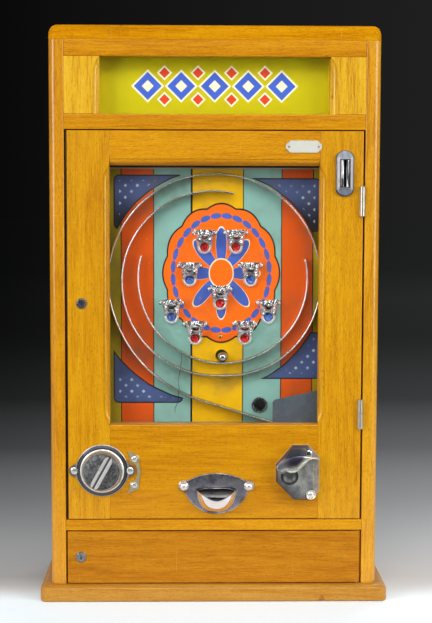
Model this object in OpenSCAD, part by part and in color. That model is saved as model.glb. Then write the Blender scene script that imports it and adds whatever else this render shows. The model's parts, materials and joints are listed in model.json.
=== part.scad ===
// Wall-hung penny ball game in an oak cabinet, in millimetres.
// +Z is up, the front faces -Y, and the origin is the middle of the plinth's underside.

/* [Cabinet] */
// Outside width of the cabinet
cab_w = 412; // [408:1:440]
// Depth of the cabinet from the front face to the wall
cab_d = 190; // [180:1:230]
// Thickness of the two side boards
side_t = 19; // [16:1:20]
// Thickness of the top board
top_t = 18; // [14:1:24]
// Thickness of the back board
back_t = 10; // [6:1:14]
// Height of the plinth
base_h = 21; // [16:1:30]
// Overhang of the plinth at each side
base_over = 14; // [4:1:20]
// Overhang of the plinth at the front
base_front = 10; // [4:1:20]
// Radius of the rounded outer edges
edge_r = 9; // [4:0.5:10]
// Thickness of the doors' and the sign's frame members
frame_t = 20; // [18:1:24]
// Radius of the wall fixing holes
wall_hole_r = 3.5; // [2.5:0.5:5]

/* [Front] */
// Height of the cash door
cash_h = 66; // [60:1:80]
// Height of the rail between the two doors
mid_rail_h = 13.6; // [12:0.2:24]
// Height of the playfield door
door_h = 487.6; // [484:0.2:510]
// Height of the rail under the sign
sill_h = 19.2; // [14:0.2:30]
// Height of the sign opening
sign_win_h = 70.2; // [50:0.2:90]
// Height of the rail over the sign
head_h = 20.6; // [14:0.2:30]
// Width of the sign's stiles
sign_stile_w = 44; // [30:1:60]
// Gap above and below each door
gap_v = 1.4; // [1:0.1:2.5]
// Gap at the lock side of each door
gap_lock = 1.8; // [1.6:0.1:2.5]
// Gap at the hinge side of the playfield door
gap_hinge = 2.2; // [2.2:0.1:3]

/* [Door] */
// Width of the door's stiles
stile_w = 54; // [52:0.5:55]
// Height of the door's top rail
top_rail_h = 42.8; // [36:0.2:50]
// Height of the door's bottom rail
bottom_rail_h = 120; // [119:0.5:124]
// Width of the moulding round the window
mould_w = 8; // [5:0.5:10]
// Depth and width of the glazing rebate
rebate = 8; // [7:0.5:9]
// Thickness of the glass
glass_t = 3; // [2:0.5:4]
// Depth of the battens between door and playfield
batten_t = 16; // [15.5:0.5:18]
// Thickness of the playfield board
field_t = 12; // [9:1:14]

/* [Rails] */
// Thickness of the rail strips
rail_t = 1.5; // [1:0.1:2]
// Radius of the outer lane
lane_r = 134.5; // [132:0.5:136]
// Radius of the launching curve
launch_r = 170; // [164:1:176]
// Slope of the launching ramp in degrees
launch_slope = 17; // [14:0.5:19]
// Radius of the spiral where the outer rail ends
spiral_r = 121.5; // [120:0.5:123]
// Radius of the spiral where the middle rail ends
spiral_end_r = 112.5; // [111:0.5:114]
// Radius of the bowl rail
bowl_r = 107; // [106:0.5:108]

/* [Cups and ball] */
// Radius of the steel ball
ball_r = 6.35; // [6:0.05:6.5]
// Outside radius of a cup at its mouth
cup_top_r = 12; // [11:0.5:12.5]
// Outside radius of the ring under a cup
cup_ring_r = 8.5; // [8:0.1:9]
// Height of a cup's mouth over the middle of its ring
cup_rise = 22.5; // [20:0.5:24]
// Wall of the pressed cups
cup_wall = 1.2; // [0.8:0.1:1.5]
// Radius of the coloured jewels
jewel_r = 5.6; // [4:0.1:5.7]

/* [Payout] */
// Radius of the escutcheon's flange
scutcheon_r = 33; // [31:0.5:34]
// Radius of the turning disc in the escutcheon
knob_r = 22.2; // [20:0.1:22.4]
// Length of the grip bar
grip_len = 44; // [36:1:44]
// Width of the grip bar
grip_w = 10.5; // [8:0.5:13]
// Turn of the payout knob in degrees
knob_turn = 50; // [40:1:50]
// Length of the payout crank
crank_r = 40; // [38:0.5:42]
// Inside radius of the coin tube
tube_r = 16; // [15.8:0.1:16.3]
// Radius of the payout cup's mouth
payout_r = 25.5; // [22:0.5:27]

/* [Trigger] */
// Radius of the lever's hub
hub_r = 7; // [6:0.5:7.5]
// Projection of the trigger housing
housing_h = 13; // [10:0.5:15]
// Length of the striker arm
striker_len = 50; // [48:0.5:51]
// Radius of the turning spindles
spindle_r = 5; // [4:0.1:5.5]

/* [Hidden] */
$fn = 48;
eps = 0.01;
// Running clearance of spindles, pins and lock plugs in their bores
run = 0.05;
// Clearance of a moving piece beside a fixed one
free = 0.3;
// Thickness of sheet metal
sheet = 1;
// Steps in a quarter of a rounded board edge
round_n = 6;

// Depths, front to back
front_y = -(cab_d + base_front) / 2 + base_front;
back_y = front_y + cab_d;
frame_y = front_y + frame_t;
field_y = frame_y + batten_t;
field_back = field_y + field_t;
glass_y = frame_y - rebate;
// Half widths
half_w = cab_w / 2;
// Plan corners of the plinth, and the top's ends seen from the front
plinth_r = 13;
crown_r = 13;
// Cutter that stops the mouldings, and how far short of the corner it stops
cutter_r = 20;
stop_drop = sqrt(pow(cutter_r + mould_w, 2) - pow(cutter_r, 2)) + 0.4;
in_x = half_w - side_t;
// Heights, stacked from the floor up
cash_z0 = base_h + gap_v;
cash_z1 = cash_z0 + cash_h;
mid_z0 = cash_z1 + gap_v;
mid_z1 = mid_z0 + mid_rail_h;
door_z0 = mid_z1 + gap_v;
door_z1 = door_z0 + door_h;
sill_z0 = door_z1 + gap_v;
sill_z1 = sill_z0 + sill_h;
head_z0 = sill_z1 + sign_win_h;
head_z1 = head_z0 + head_h;
cab_h = head_z1 + top_t;
// Door and window outline
door_x0 = -in_x + gap_lock;
door_x1 = in_x - gap_hinge;
door_cx = (door_x0 + door_x1) / 2;
win_x0 = door_x0 + stile_w;
win_x1 = door_x1 - stile_w;
win_z0 = door_z0 + bottom_rail_h;
win_z1 = door_z1 - top_rail_h;
sign_x = in_x - sign_stile_w;
// Wall fixing holes
wall_x = in_x - 37;
wall_zs = [door_z0 + 35.2, door_z1 + 27.6];
// Playfield outline beyond the window
field_over = 24;
batten_w = 12;
field_x0 = win_x0 - field_over;
field_x1 = win_x1 + field_over;
field_z0 = win_z0 - field_over - 1;
field_z1 = win_z1 + field_over;
// Door hinges
hinge_r = 3.6;
hinge_pin_r = 1.8;
hinge_len = 37;
hinge_leaf = 1;
hinge_x = door_x1 + hinge_leaf - 2.2;
hinge_y = front_y - 2.5;
hinge_zs = [door_z0 + 115, door_z0 + 382.4];
hinge_gap = 0.2;
// Cash door pivots
pivot_r = 2;
pivot_corner = 4;
pivot_len = 7;
cash_t = 18;
cash_x1 = in_x - 1.2;
pivot_x = cash_x1 - pivot_corner;
pivot_y = front_y + pivot_corner;
// Locks
lock_r = 6;
lock_face_r = 6.8;
plug_r = 4;
cam_len = 17;
cam_w = 9;
cam_t = 2;
stop_w = 10;
stop_y0 = frame_y + 0.7;
stop_y1 = frame_y + 13;
lock_y1 = stop_y1 + 1;
door_lock = [door_x0 + 19, door_z0 + 272.8];
cash_lock = [door_x0 + 17, cash_z0 + 33.3];

// Playfield drawing, as [x, z]
lane_c = [door_cx + 0.6, door_z0 + 300.2];
bowl_c = [door_cx + 11, door_z0 + 302.2];
launch_a = 195;
ramp_len = 106;
spiral_a = 276;
middle_a = 78;
bowl_a0 = 164;
bowl_a1 = 374;
rail_front = frame_y + 2;
cup_cx = door_cx + 7.7;
cup_fall = 12;
cup_hole_r = 7.2;
// Rows of cups: half spacing, height over the door's foot, and 1 for a red jewel
CUP_ROWS = [[19.9, 342.5, 1], [38.7, 300.9, 0], [0, 271.1, 1], [61.6, 253.4, 0], [31.7, 226.2, 1]];
ball_orbit = bowl_r - rail_t / 2 - ball_r - free;
ball_y = field_y - ball_r - 1.5;
lost_c = [bowl_c[0] - 1, bowl_c[1] - ball_orbit + 1];
lost_r = 7.8;
peg_c = [cup_cx + 0.5, door_z0 + 229.5];
eyelet_r = 10.4;
eyelet_bore = 7.6;
eyelet_x = door_cx + 58.9;
// Gallery behind the cups: half widths, and heights of its mouth, shoulder, neck and runway
gallery_half = CUP_ROWS[3][0] + 18.4;
runway_half = 12;
runway_h = 14;
gallery_z = [door_z0 + 365, door_z0 + 244, door_z0 + 195, door_z0 + 162];
// Height of the eyelet's middle over the ramp's line
eyelet_lift = 15.54;
cover_y0 = frame_y + 0.4;
// The cover's overlap past the ramp's foot, and its left and right heights over that foot
cover_lap = 11.8;
cover_up = [31.2, 46.2];

// Coin path
entry_c = [door_x1 - 23.4, door_z0 + 435.4];
entry_w = 22.4;
entry_h = 57;
slot_w = 2.8;
slot_h = 33;
chute_in = 4.2;
chute_x0 = entry_c[0] - chute_in / 2;
chute_x1 = entry_c[0] + chute_in / 2;
tube_wall = 1.5;
tube_c = [door_cx + 90, field_back + 28];
tube_z0 = door_z0 + 108.5;
tube_z1 = door_z0 + 187;
carry_t = 2;
carry_z1 = tube_z0 - free;
carry_z0 = carry_z1 - carry_t;
table_t = 3;
table_z1 = carry_z0 - free;
table_z0 = table_z1 - table_t;
shelf_z0 = table_z1 + 26;
bracket_x = [tube_c[0] - 18.5, tube_c[0] + 60];
// Payout knob, crank and slide
// Wood between the knob's middle and the stile's inner edge
knob_inset = 9.8;
knob_c = [win_x0 - knob_inset, door_z0 + 62];
// Height of the boss that carries the knob's disc
knob_floor = 10.5;
ear_x = 34;
ear_r = 7.5;
grip_tilt = 29;
crank_swing = knob_turn / 2;
slide_travel = 2 * crank_r * sin(crank_swing);
crank_t = 4;
crank_y0 = field_back + 4;
pin_r = 3;
pin_gap = 0.5;
fork_t = 2;
fork_y0 = crank_y0 + crank_t + 2;
rest_pin = [knob_c[0] - crank_r * sin(crank_swing), knob_c[1] + crank_r * cos(crank_swing)];
strip_y0 = fork_y0;
strip_y1 = fork_y0 + 24;
fork_half = 8;
strip_x0 = rest_pin[0] - fork_half;
carry_x0 = tube_c[0] - slide_travel - tube_r - 10;
carry_x1 = tube_c[0] + tube_r + 4;
carry_y1 = tube_c[1] + tube_r + 2;
guide_x = [knob_c[0] + 33, knob_c[0] + 43];
lug_x = guide_x[1] + 40;
lug_h = 16;
spring_up = 11;
spring_post_r = 2;
// Payout cup and its chute
pay_cx = door_cx + 3;
pay_z = door_z0 + 41;
pay_rim = pay_z - 4.5;
pay_foot = pay_z - 29.5;
pay_plate = 1.5;
bowl_wall = 1.4;
eye_half = 40;
eye_flat = 6;
eye_rise = 11.5;
eye_drop = 28.8;
mouth_half = 23;
mouth_z0 = pay_z - 22;
mouth_z1 = pay_z - 2.4;
ramp_z0 = pay_z - 14;
ramp_z1 = pay_z + 11;
trough_y = [tube_c[1] - tube_r - 1, tube_c[1] + tube_r + 1];
trough_x = [pay_cx - mouth_half - sheet, tube_c[0] + 52];
trough_z = [ramp_z1, table_z0 - 6];
// Trigger and striker
trig_c = [door_cx + 101, door_z0 + 71.2];
housing_c = [door_cx + 105.2, door_z0 + 59.8];
housing_screw = [16.5, -27];
// How far left of the middle the housing's flanks draw together
flank_x = 14;
lever_t = 9;
lever_web = 5.5;
lever_y1 = front_y - housing_h - free;
plate_t = 2.5;
arm_y0 = frame_y + plate_t + 1.2;
arm_t = 6;
arm_w = 10;
hook_up = 20;
anchor_x = trig_c[0] - 43;
stop_r = 3.5;
stop_up = 31;
// Springs
wire_r = 0.5;
coil_r = 3.4;
trigger_coils = 14;
payout_coils = 16;
curl_rings = 8;
wire_sides = 6;

oak = [0.72, 0.46, 0.17];
chrome = [0.80, 0.81, 0.82];
steel = [0.52, 0.53, 0.54];
brass = [0.80, 0.62, 0.25];

// Points and outlines

function arc(c, r, a0, a1, n) =
    [for (i = [0 : n]) c + r * [cos(a0 + (a1 - a0) * i / n), sin(a0 + (a1 - a0) * i / n)]];

function heading(p, i) =
    let (d = p[min(i + 1, len(p) - 1)] - p[max(i - 1, 0)]) d / norm(d);

function beside(p, i, t) = p[i] + t * [-heading(p, i)[1], heading(p, i)[0]];

// Outline of a strip of thickness t along the path p
function strip(p, t) = concat(
    [for (i = [0 : len(p) - 1]) beside(p, i, t / 2)],
    [for (i = [len(p) - 1 : -1 : 0]) beside(p, i, -t / 2)]
);

// Rectangle from a to b with its own radius at each corner, from the lower left anticlockwise
function rounded(a, b, r) = concat(
    arc([a[0] + r[0], a[1] + r[0]], r[0], 180, 270, round_n),
    arc([b[0] - r[1], a[1] + r[1]], r[1], 270, 360, round_n),
    arc([b[0] - r[2], b[1] - r[2]], r[2], 0, 90, round_n),
    arc([a[0] + r[3], b[1] - r[3]], r[3], 90, 180, round_n)
);

// Ovolo cut: distance into the wood from the opening's edge, and depth from the face
function ovolo() = concat(
    [[-1, -1], [mould_w, -1]],
    [for (p = arc([mould_w, mould_w], mould_w - 1.2, 270, 180, round_n)) p],
    [[-1, mould_w]]
);

launch_c = lane_c + (lane_r - launch_r) * [cos(launch_a), sin(launch_a)];
launch_end = 270 - launch_slope;
ramp_top = launch_c + launch_r * [cos(launch_end), sin(launch_end)];
ramp_foot = ramp_top + ramp_len * [cos(launch_slope), -sin(launch_slope)];
eyelet_c = [eyelet_x, ramp_foot[1] + (ramp_foot[0] - eyelet_x) * tan(launch_slope) + eyelet_lift];
// Cover over the striker: left, right, foot, left top and right top
cover = [
    ramp_foot[0] - cover_lap, win_x1 + 6, win_z0 - 8, ramp_foot[1] + cover_up[0], ramp_foot[1] + cover_up[1]
];
cover_posts = [[cover[0] + 8, cover[3] - 4], [cover[1] - 8, cover[4] - 8], [cover[1] - 3.5, cover[3] - 14]];

// Outer lane: ramp, launching curve, three quarters of a circle, then a spiral drawn inwards
outer_path = concat(
    [ramp_foot],
    arc(launch_c, launch_r, launch_end, launch_a, 10),
    [for (i = [1 : 36])
        lane_c + lane_r * [cos(launch_a - i * launch_a / 36), sin(launch_a - i * launch_a / 36)]],
    [for (i = [1 : 16])
        let (a = i * (360 - spiral_a) / 16, r = lane_r - (lane_r - spiral_r) * pow(i / 16, 2))
        lane_c + r * [cos(-a), sin(-a)]]
);

// Middle lane: the spiral goes on from the foot, up the left and over the top
middle_path = [for (i = [0 : 38])
    let (a = spiral_a + (middle_a - spiral_a) * i / 38, r = spiral_r + (spiral_end_r - spiral_r) * i / 38)
    lane_c + r * [cos(a), sin(a)]];

// Middles of the cup rings with a red or a blue jewel
function cup_spots(red) = [for (row = CUP_ROWS, s = [-1, 1])
    if (row[2] == red && (row[0] > 0 || s > 0)) [cup_cx + s * row[0], door_z0 + row[1]]];
ALL_CUPS = concat(cup_spots(1), cup_spots(0));

// Placing helpers

module block(x, y, z) {
    translate([x[0], y[0], z[0]])
        cube([x[1] - x[0], y[1] - y[0], z[1] - z[0]]);
}

// Drawing in X and Z, given depth from y0 to y1
module along_y(y0, y1) {
    translate([0, y1, 0])
        rotate([90, 0, 0])
            linear_extrude(height = y1 - y0)
                children();
}

// Drawing in Y and Z, given length from x0 to x1
module along_x(x0, x1) {
    translate([x0, 0, 0])
        rotate([90, 0, 90])
            linear_extrude(height = x1 - x0)
                children();
}

// Drawing in X and Y, given height from z0 to z1
module along_z(z0, z1) {
    translate([0, 0, z0])
        linear_extrude(height = z1 - z0)
            children();
}

// Round bar along Y at c = [x, z]
module rod_y(c, r, y0, y1) {
    translate([c[0], y1, c[1]])
        rotate([90, 0, 0])
            cylinder(r = r, h = y1 - y0);
}

module rod_z(c, r, z0, z1) {
    translate([c[0], c[1], z0])
        cylinder(r = r, h = z1 - z0);
}

// Profile of radius against projection, turned about a Y axis at c = [x, z] and standing out of plane y
module turned(c, y) {
    translate([c[0], y, c[1]])
        rotate([90, 0, 0])
            rotate_extrude()
                children();
}

// Board rounded in plan, in front view and in side view
module eased_board(x, y, z, plan, face, edge) {
    intersection() {
        along_z(z[0] - 1, z[1] + 1) polygon(rounded([x[0], y[0]], [x[1], y[1]], plan));
        along_y(y[0] - 1, y[1] + 1) polygon(rounded([x[0], z[0]], [x[1], z[1]], face));
        along_x(x[0] - 1, x[1] + 1) polygon(rounded([y[0], z[0]], [y[1], z[1]], edge));
    }
}

// Ovolo along an upright edge at x, with the wood on the side s
module upright_ovolo(x, s, z0, z1) {
    along_z(z0, z1) polygon([for (p = ovolo()) [x + s * p[0], front_y + p[1]]]);
}

// Rounded end of an upright ovolo, left by the cutter where it stopped at height z
module ovolo_stop(x, s, z) {
    turned([x - s * cutter_r, z], front_y) polygon([for (p = ovolo()) [cutter_r + p[0], -p[1]]]);
}

// Ovolo along the lower edge of a rail at height z
module level_ovolo(z, x0, x1) {
    along_x(x0, x1) polygon([for (p = ovolo()) [front_y + p[1], z + p[0]]]);
}

// Cabinet

module base_plinth() {
    color(oak)
        difference() {
            eased_board(
                [-half_w - base_over, half_w + base_over], [front_y - base_front, back_y], [0, base_h],
                [plinth_r, plinth_r, 0.5, 0.5], [3, 3, 8, 8], [3, 0.5, 0.5, 8]
            );
            rod_z([pivot_x, pivot_y], pivot_r + run, base_h - pivot_len, base_h + 1);
        }
}

module side_board(s) {
    color(oak)
        along_z(base_h, head_z1)
            mirror([s > 0 ? 0 : 1, 0])
                polygon(rounded([in_x, front_y], [half_w, back_y], [1.5, edge_r, 0.5, 0.5]));
}

module left_side() {
    side_board(-1);
}

module right_side() {
    side_board(1);
}

module top_board() {
    color(oak)
        eased_board(
            [-half_w, half_w], [front_y, back_y], [head_z1, cab_h],
            [edge_r, edge_r, 0.5, 0.5], [0.5, 0.5, crown_r, crown_r], [0.5, 0.5, 0.5, 6]
        );
}

module back_board() {
    color(oak)
        difference() {
            block([-in_x, in_x], [back_y - back_t, back_y], [base_h, head_z1]);
            for (x = [-wall_x, wall_x], z = wall_zs)
                rod_y([x, z], wall_hole_r, back_y - back_t - 1, back_y + 1);
        }
}

module cash_shelf() {
    color(oak)
        block([-in_x, tube_c[0] - 20], [frame_y, back_y - back_t], [mid_z1 - 12, mid_z1]);
}

module mid_rail() {
    color(oak)
        difference() {
            along_x(-in_x, in_x)
                polygon(rounded([front_y, mid_z0], [frame_y, mid_z1], [1, 0.5, 0.5, 1]));
            rod_z([pivot_x, pivot_y], pivot_r + run, mid_z0 - 1, mid_z0 + pivot_len);
        }
}

module sign_rails() {
    color(oak) {
        difference() {
            along_x(-in_x, in_x)
                polygon(rounded([front_y, sill_z0], [frame_y, sill_z1], [1, 0.5, 0.5, 1.5]));
            block(
                [-sign_x - rebate, sign_x + rebate], [glass_y, frame_y + 1], [sill_z1 - rebate, sill_z1 + 1]
            );
        }
        difference() {
            along_x(-in_x, in_x)
                polygon(rounded([front_y, head_z0], [frame_y, head_z1], [1.5, 0.5, 0.5, 0.5]));
            block(
                [-sign_x - rebate, sign_x + rebate], [glass_y, frame_y + 1], [head_z0 - 1, head_z0 + rebate]
            );
        }
    }
}

module sign_stiles() {
    color(oak)
        for (s = [-1, 1])
            difference() {
                block(
                    [min(s * sign_x, s * in_x), max(s * sign_x, s * in_x)], [front_y, frame_y],
                    [sill_z1, head_z0]
                );
                upright_ovolo(s * sign_x, s, sill_z1 - 1, head_z0 - stop_drop);
                ovolo_stop(s * sign_x, s, head_z0 - stop_drop);
                block(
                    [s * sign_x - rebate, s * sign_x + rebate], [glass_y, frame_y + 1],
                    [sill_z1 - 1, head_z0 + 1]
                );
            }
}

module sign_glass() {
    color([0.85, 0.92, 0.92, 0.35])
        block(
            [-sign_x - rebate + 0.5, sign_x + rebate - 0.5], [glass_y, glass_y + glass_t],
            [sill_z1 - rebate + 0.5, head_z0 + rebate - 0.5]
        );
}

module sign_panel() {
    color([0.75, 0.72, 0.10])
        block(
            [-sign_x - rebate + 1, sign_x + rebate - 1], [frame_y + 8, frame_y + 9.5],
            [sill_z1 - rebate, head_z0 + rebate]
        );
}

module sign_carriers() {
    color(oak)
        for (s = [-1, 1])
            block(
                [s * (sign_x + rebate / 2) - rebate / 2 + 0.5, s * (sign_x + rebate / 2) + rebate / 2 - 0.5],
                [glass_y + glass_t, frame_y + 8], [sill_z1 - rebate + 0.5, head_z0 + rebate - 0.5]
            );
}

module door_stop() {
    color(oak) {
        block([-in_x, -in_x + stop_w], [stop_y0, stop_y1], [mid_z1, door_z1]);
        block([-in_x, -in_x + stop_w], [stop_y0, stop_y1], [base_h, mid_z1 - 12]);
    }
}

// Hinges: the case leaf carries the lower knuckle and the pin, the door leaf drops onto it

module hinge_case_leaves() {
    color(brass)
        for (z = hinge_zs)
            union() {
                block([in_x - hinge_leaf, in_x], [front_y + 1.6, frame_y + 2], [z, z + hinge_len]);
                block([in_x - hinge_leaf, in_x], [hinge_y, front_y + 2], [z, z + hinge_len / 2 - hinge_gap]);
                block([hinge_x, in_x], [hinge_y - 0.8, hinge_y + 0.8], [z, z + hinge_len / 2 - hinge_gap]);
                rod_z([hinge_x, hinge_y], hinge_r, z, z + hinge_len / 2 - hinge_gap);
                rod_z([hinge_x, hinge_y], hinge_pin_r, z + hinge_len / 2 - 1, z + hinge_len - 3);
            }
}

module hinge_door_leaves() {
    color(brass)
        for (z = hinge_zs)
            difference() {
                union() {
                    block([door_x1, door_x1 + hinge_leaf], [front_y + 1.6, frame_y], [z, z + hinge_len]);
                    block(
                        [door_x1, door_x1 + hinge_leaf], [hinge_y, front_y + 2],
                        [z + hinge_len / 2, z + hinge_len]
                    );
                    rod_z([hinge_x, hinge_y], hinge_r, z + hinge_len / 2, z + hinge_len);
                }
                rod_z([hinge_x, hinge_y], hinge_pin_r + run, z + hinge_len / 2 - 1, z + hinge_len - 2);
            }
}

module hinge_notches() {
    for (z = hinge_zs)
        rod_z([hinge_x, hinge_y], hinge_r + 0.4, z - 0.5, z + hinge_len + 0.5);
}

// Door frame

module stile(x0, x1, edge, s) {
    difference() {
        along_z(door_z0, door_z1) polygon(rounded([x0, front_y], [x1, frame_y], [1, 1, 0.5, 0.5]));
        upright_ovolo(edge, s, win_z0 + stop_drop, win_z1 - stop_drop);
        for (z = [win_z0 + stop_drop, win_z1 - stop_drop])
            ovolo_stop(edge, s, z);
        block([edge - rebate, edge + rebate], [glass_y, frame_y + 1], [win_z0 - rebate, win_z1 + rebate]);
    }
}

module door_left_stile() {
    color(oak)
        difference() {
            stile(door_x0, win_x0, win_x0, -1);
            rod_y(door_lock, lock_r, front_y - 1, frame_y + 1);
            rod_y(knob_c, spindle_r + 4.1, front_y - 1, frame_y + 1);
        }
}

module door_right_stile() {
    color(oak)
        difference() {
            stile(win_x1, door_x1, win_x1, 1);
            hinge_notches();
            block(
                [chute_x0, chute_x1], [front_y - 1, frame_y + 1],
                [entry_c[1] - slot_h / 2 - 1.5, entry_c[1] + slot_h / 2 + 1.5]
            );
        }
}

module door_top_rail() {
    color(oak)
        difference() {
            block([win_x0, win_x1], [front_y, frame_y], [win_z1, door_z1]);
            level_ovolo(win_z1, win_x0 - 1, win_x1 + 1);
            block([win_x0 - 1, win_x1 + 1], [glass_y, frame_y + 1], [win_z1 - 1, win_z1 + rebate]);
        }
}

module door_bottom_rail() {
    color(oak)
        difference() {
            along_x(win_x0, win_x1)
                polygon(rounded([front_y, door_z0], [frame_y, win_z0], [1, 0.5, 0.5, 2]));
            block([win_x0 - 1, win_x1 + 1], [glass_y, frame_y + 1], [win_z0 - rebate, win_z0 + 1]);
            along_x(pay_cx - mouth_half - 1.5, pay_cx + mouth_half + 1.5)
                polygon([
                    [front_y - 1, ramp_z0 - 6], [frame_y + 1, ramp_z0 - 6], [frame_y + 1, ramp_z1 + 4],
                    [front_y - 1, pay_z - 1]
                ]);
            rod_y(trig_c, spindle_r + 4.1, front_y - 1, frame_y + 1);
        }
}

module door_glass() {
    color([0.85, 0.92, 0.92, 0.25])
        block(
            [win_x0 - rebate + 0.5, win_x1 + rebate - 0.5], [glass_y, glass_y + glass_t],
            [win_z0 - rebate + 0.5, win_z1 + rebate - 0.5]
        );
}

// Glazing beads in the rebate, and the battens that carry the playfield
module door_strips() {
    color(oak) {
        for (x = [win_x0 - rebate, win_x1])
            block([x + 0.3, x + rebate - 0.3], [glass_y + glass_t, frame_y], [win_z0, win_z1]);
        for (z = [win_z0 - rebate, win_z1])
            block(
                [win_x0 - rebate + 0.3, win_x1 + rebate - 0.3], [glass_y + glass_t, frame_y],
                [z + 0.3, z + rebate - 0.3]
            );
        difference() {
            union() {
                block([field_x0, field_x0 + batten_w], [frame_y, field_y], [field_z0, field_z1]);
                block([field_x1 - batten_w, field_x1], [frame_y, field_y], [field_z0, field_z1]);
                block(
                    [field_x0 + batten_w, field_x1 - batten_w], [frame_y, field_y],
                    [field_z1 - batten_w, field_z1]
                );
                block(
                    [field_x0 + batten_w, door_cx + 45], [frame_y, field_y], [field_z0, field_z0 + batten_w]
                );
            }
            rod_y(lane_c, lane_r + rail_t / 2 + free, frame_y - 1, field_y + 1);
        }
    }
}

// Playfield

module playfield_board() {
    color([0.85, 0.70, 0.12])
        difference() {
            block([field_x0, field_x1], [field_y, field_back], [field_z0, field_z1]);
            for (c = ALL_CUPS)
                rod_y([c[0], c[1] + cup_fall], cup_hole_r, field_y - 1, field_back + 1);
            rod_y(lost_c, lost_r, field_y - 1, field_back + 1);
            rod_y(eyelet_c, eyelet_bore + 1.2, field_y - 1, field_back + 1);
        }
}

module outer_rail() {
    color(steel)
        along_y(rail_front, field_y) polygon(strip(outer_path, rail_t));
}

module middle_rail() {
    color(steel)
        along_y(rail_front, field_y) polygon(strip(middle_path, rail_t));
}

module inner_rail() {
    color(steel)
        translate([bowl_c[0], field_y, bowl_c[1]])
            rotate([90, 0, 0])
                rotate([0, 0, bowl_a0])
                    rotate_extrude(angle = bowl_a1 - bowl_a0)
                        translate([bowl_r - rail_t / 2, 0])
                            square([rail_t, field_y - rail_front]);
}

// Bucket of U plan, narrowing downwards, d smaller than its outside all round
module bucket(d) {
    deep = 3.5;
    low = cup_ring_r - 2.3 + d;
    r1 = cup_ring_r - d;
    r2 = cup_top_r - d;
    lift = d > 0 ? 1 : 0;
    translate([0, -deep, low])
        intersection() {
            cylinder(r1 = r1, r2 = r2, h = cup_rise - low + lift);
            translate([-20, -40, -1]) cube([40, 40, 60]);
        }
    along_y(-deep - eps, d > 0 ? 1 : 0)
        polygon([[-r1, low], [r1, low], [r2, cup_rise + lift], [-r2, cup_rise + lift]]);
}

// Pressed cup with two nailing ears over a ring that frames its jewel
module ball_cup() {
    union() {
        difference() {
            bucket(0);
            bucket(cup_wall);
        }
        for (s = [-1, 1])
            block([s * 12.5 - 2.5, s * 12.5 + 2.5], [-cup_wall, 0], [cup_rise - 6, cup_rise - 1]);
        turned([0, 0], 0)
            polygon([
                [jewel_r + 0.2, 0], [cup_ring_r, 0], [cup_ring_r, 3.5], [cup_ring_r - 0.8, 5.2],
                [cup_ring_r - 1.6, 5.6], [jewel_r + 0.2, 4.6]
            ]);
    }
}

module ball_cups() {
    color(chrome)
        for (c = ALL_CUPS)
            translate([c[0], field_y, c[1]]) ball_cup();
}

// Jewel with a domed face
module jewels(red) {
    cap = 2.2;
    dome_r = (jewel_r * jewel_r + cap * cap) / (2 * cap);
    for (c = cup_spots(red))
        translate([c[0], field_y, c[1]])
            rotate([90, 0, 0])
                intersection() {
                    cylinder(r = jewel_r, h = 8);
                    translate([0, 0, 2 + cap - dome_r]) sphere(r = dome_r, $fn = 64);
                }
}

module red_jewels() {
    color([0.80, 0.12, 0.06]) jewels(1);
}

module blue_jewels() {
    color([0.12, 0.22, 0.62]) jewels(0);
}

module lost_peg() {
    color(brass)
        turned(peg_c, field_y)
            polygon([[0, 0], [1.6, 0], [1.6, 9], [2.8, 9.5], [2.8, 11], [1.4, 12.4], [0, 12.8]]);
}

module ball_eyelet() {
    color(chrome)
        turned(eyelet_c, field_y)
            polygon([
                [eyelet_bore, -field_t + 1], [eyelet_bore + 1.2, -field_t + 1], [eyelet_bore + 1.2, 0],
                [eyelet_r, 0], [eyelet_r, 0.8], [eyelet_r - 0.6, 1.5], [eyelet_bore + 0.6, 1.5],
                [eyelet_bore, 0.8]
            ]);
}

module striker_cover() {
    color([0.55, 0.58, 0.60])
        union() {
            along_y(cover_y0, cover_y0 + sheet)
                polygon([
                    [cover[0], cover[2]], [cover[1], cover[2]], [cover[1], cover[4]],
                    [cover[0] + 3, cover[3] + 2], [cover[0], cover[3] - 1]
                ]);
            for (c = cover_posts)
                rod_y(c, 2.5, cover_y0 + sheet / 2, field_y);
        }
}

// Coin entry: bevelled casting with a raised lip round the slot
module coin_entry() {
    w = entry_w / 2;
    h = entry_h / 2;
    end_r = w + 1.1;
    // Straight sides between two arched ends, drawn in by d
    module plan(d) {
        a = acos((w - d) / (end_r - d));
        polygon(concat(
            arc([0, h - end_r], end_r - d, a, 180 - a, 12),
            arc([0, end_r - h], end_r - d, 180 + a, 360 - a, 12)
        ));
    }
    color(chrome)
        difference() {
            translate([entry_c[0], 0, entry_c[1]])
                union() {
                    difference() {
                        union() {
                            along_y(front_y - 2.5, front_y) plan(0);
                            along_y(front_y - 4.5, front_y - 2) plan(1.4);
                            along_y(front_y - 7, front_y - 4)
                                polygon(
                                    rounded(
                                        [-8.2, -slot_h / 2 - 1.7], [8.2, slot_h / 2 + 1.7],
                                        [1.5, 1.5, 1.5, 1.5]
                                    )
                                );
                        }
                        along_y(front_y - 8, front_y - 4.5)
                            polygon(
                                rounded([-5.6, -slot_h / 2 - 0.3], [5.6, slot_h / 2 + 0.3], [1, 1, 1, 1])
                            );
                    }
                    for (s = [-1, 1])
                        rod_z([s * (slot_w / 2 + 2.1), front_y - 4.5], 2, -slot_h / 2, slot_h / 2);
                }
            block(
                [entry_c[0] - slot_w / 2, entry_c[0] + slot_w / 2], [front_y - 9, front_y + 1],
                [entry_c[1] - slot_h / 2, entry_c[1] + slot_h / 2]
            );
        }
}

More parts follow.
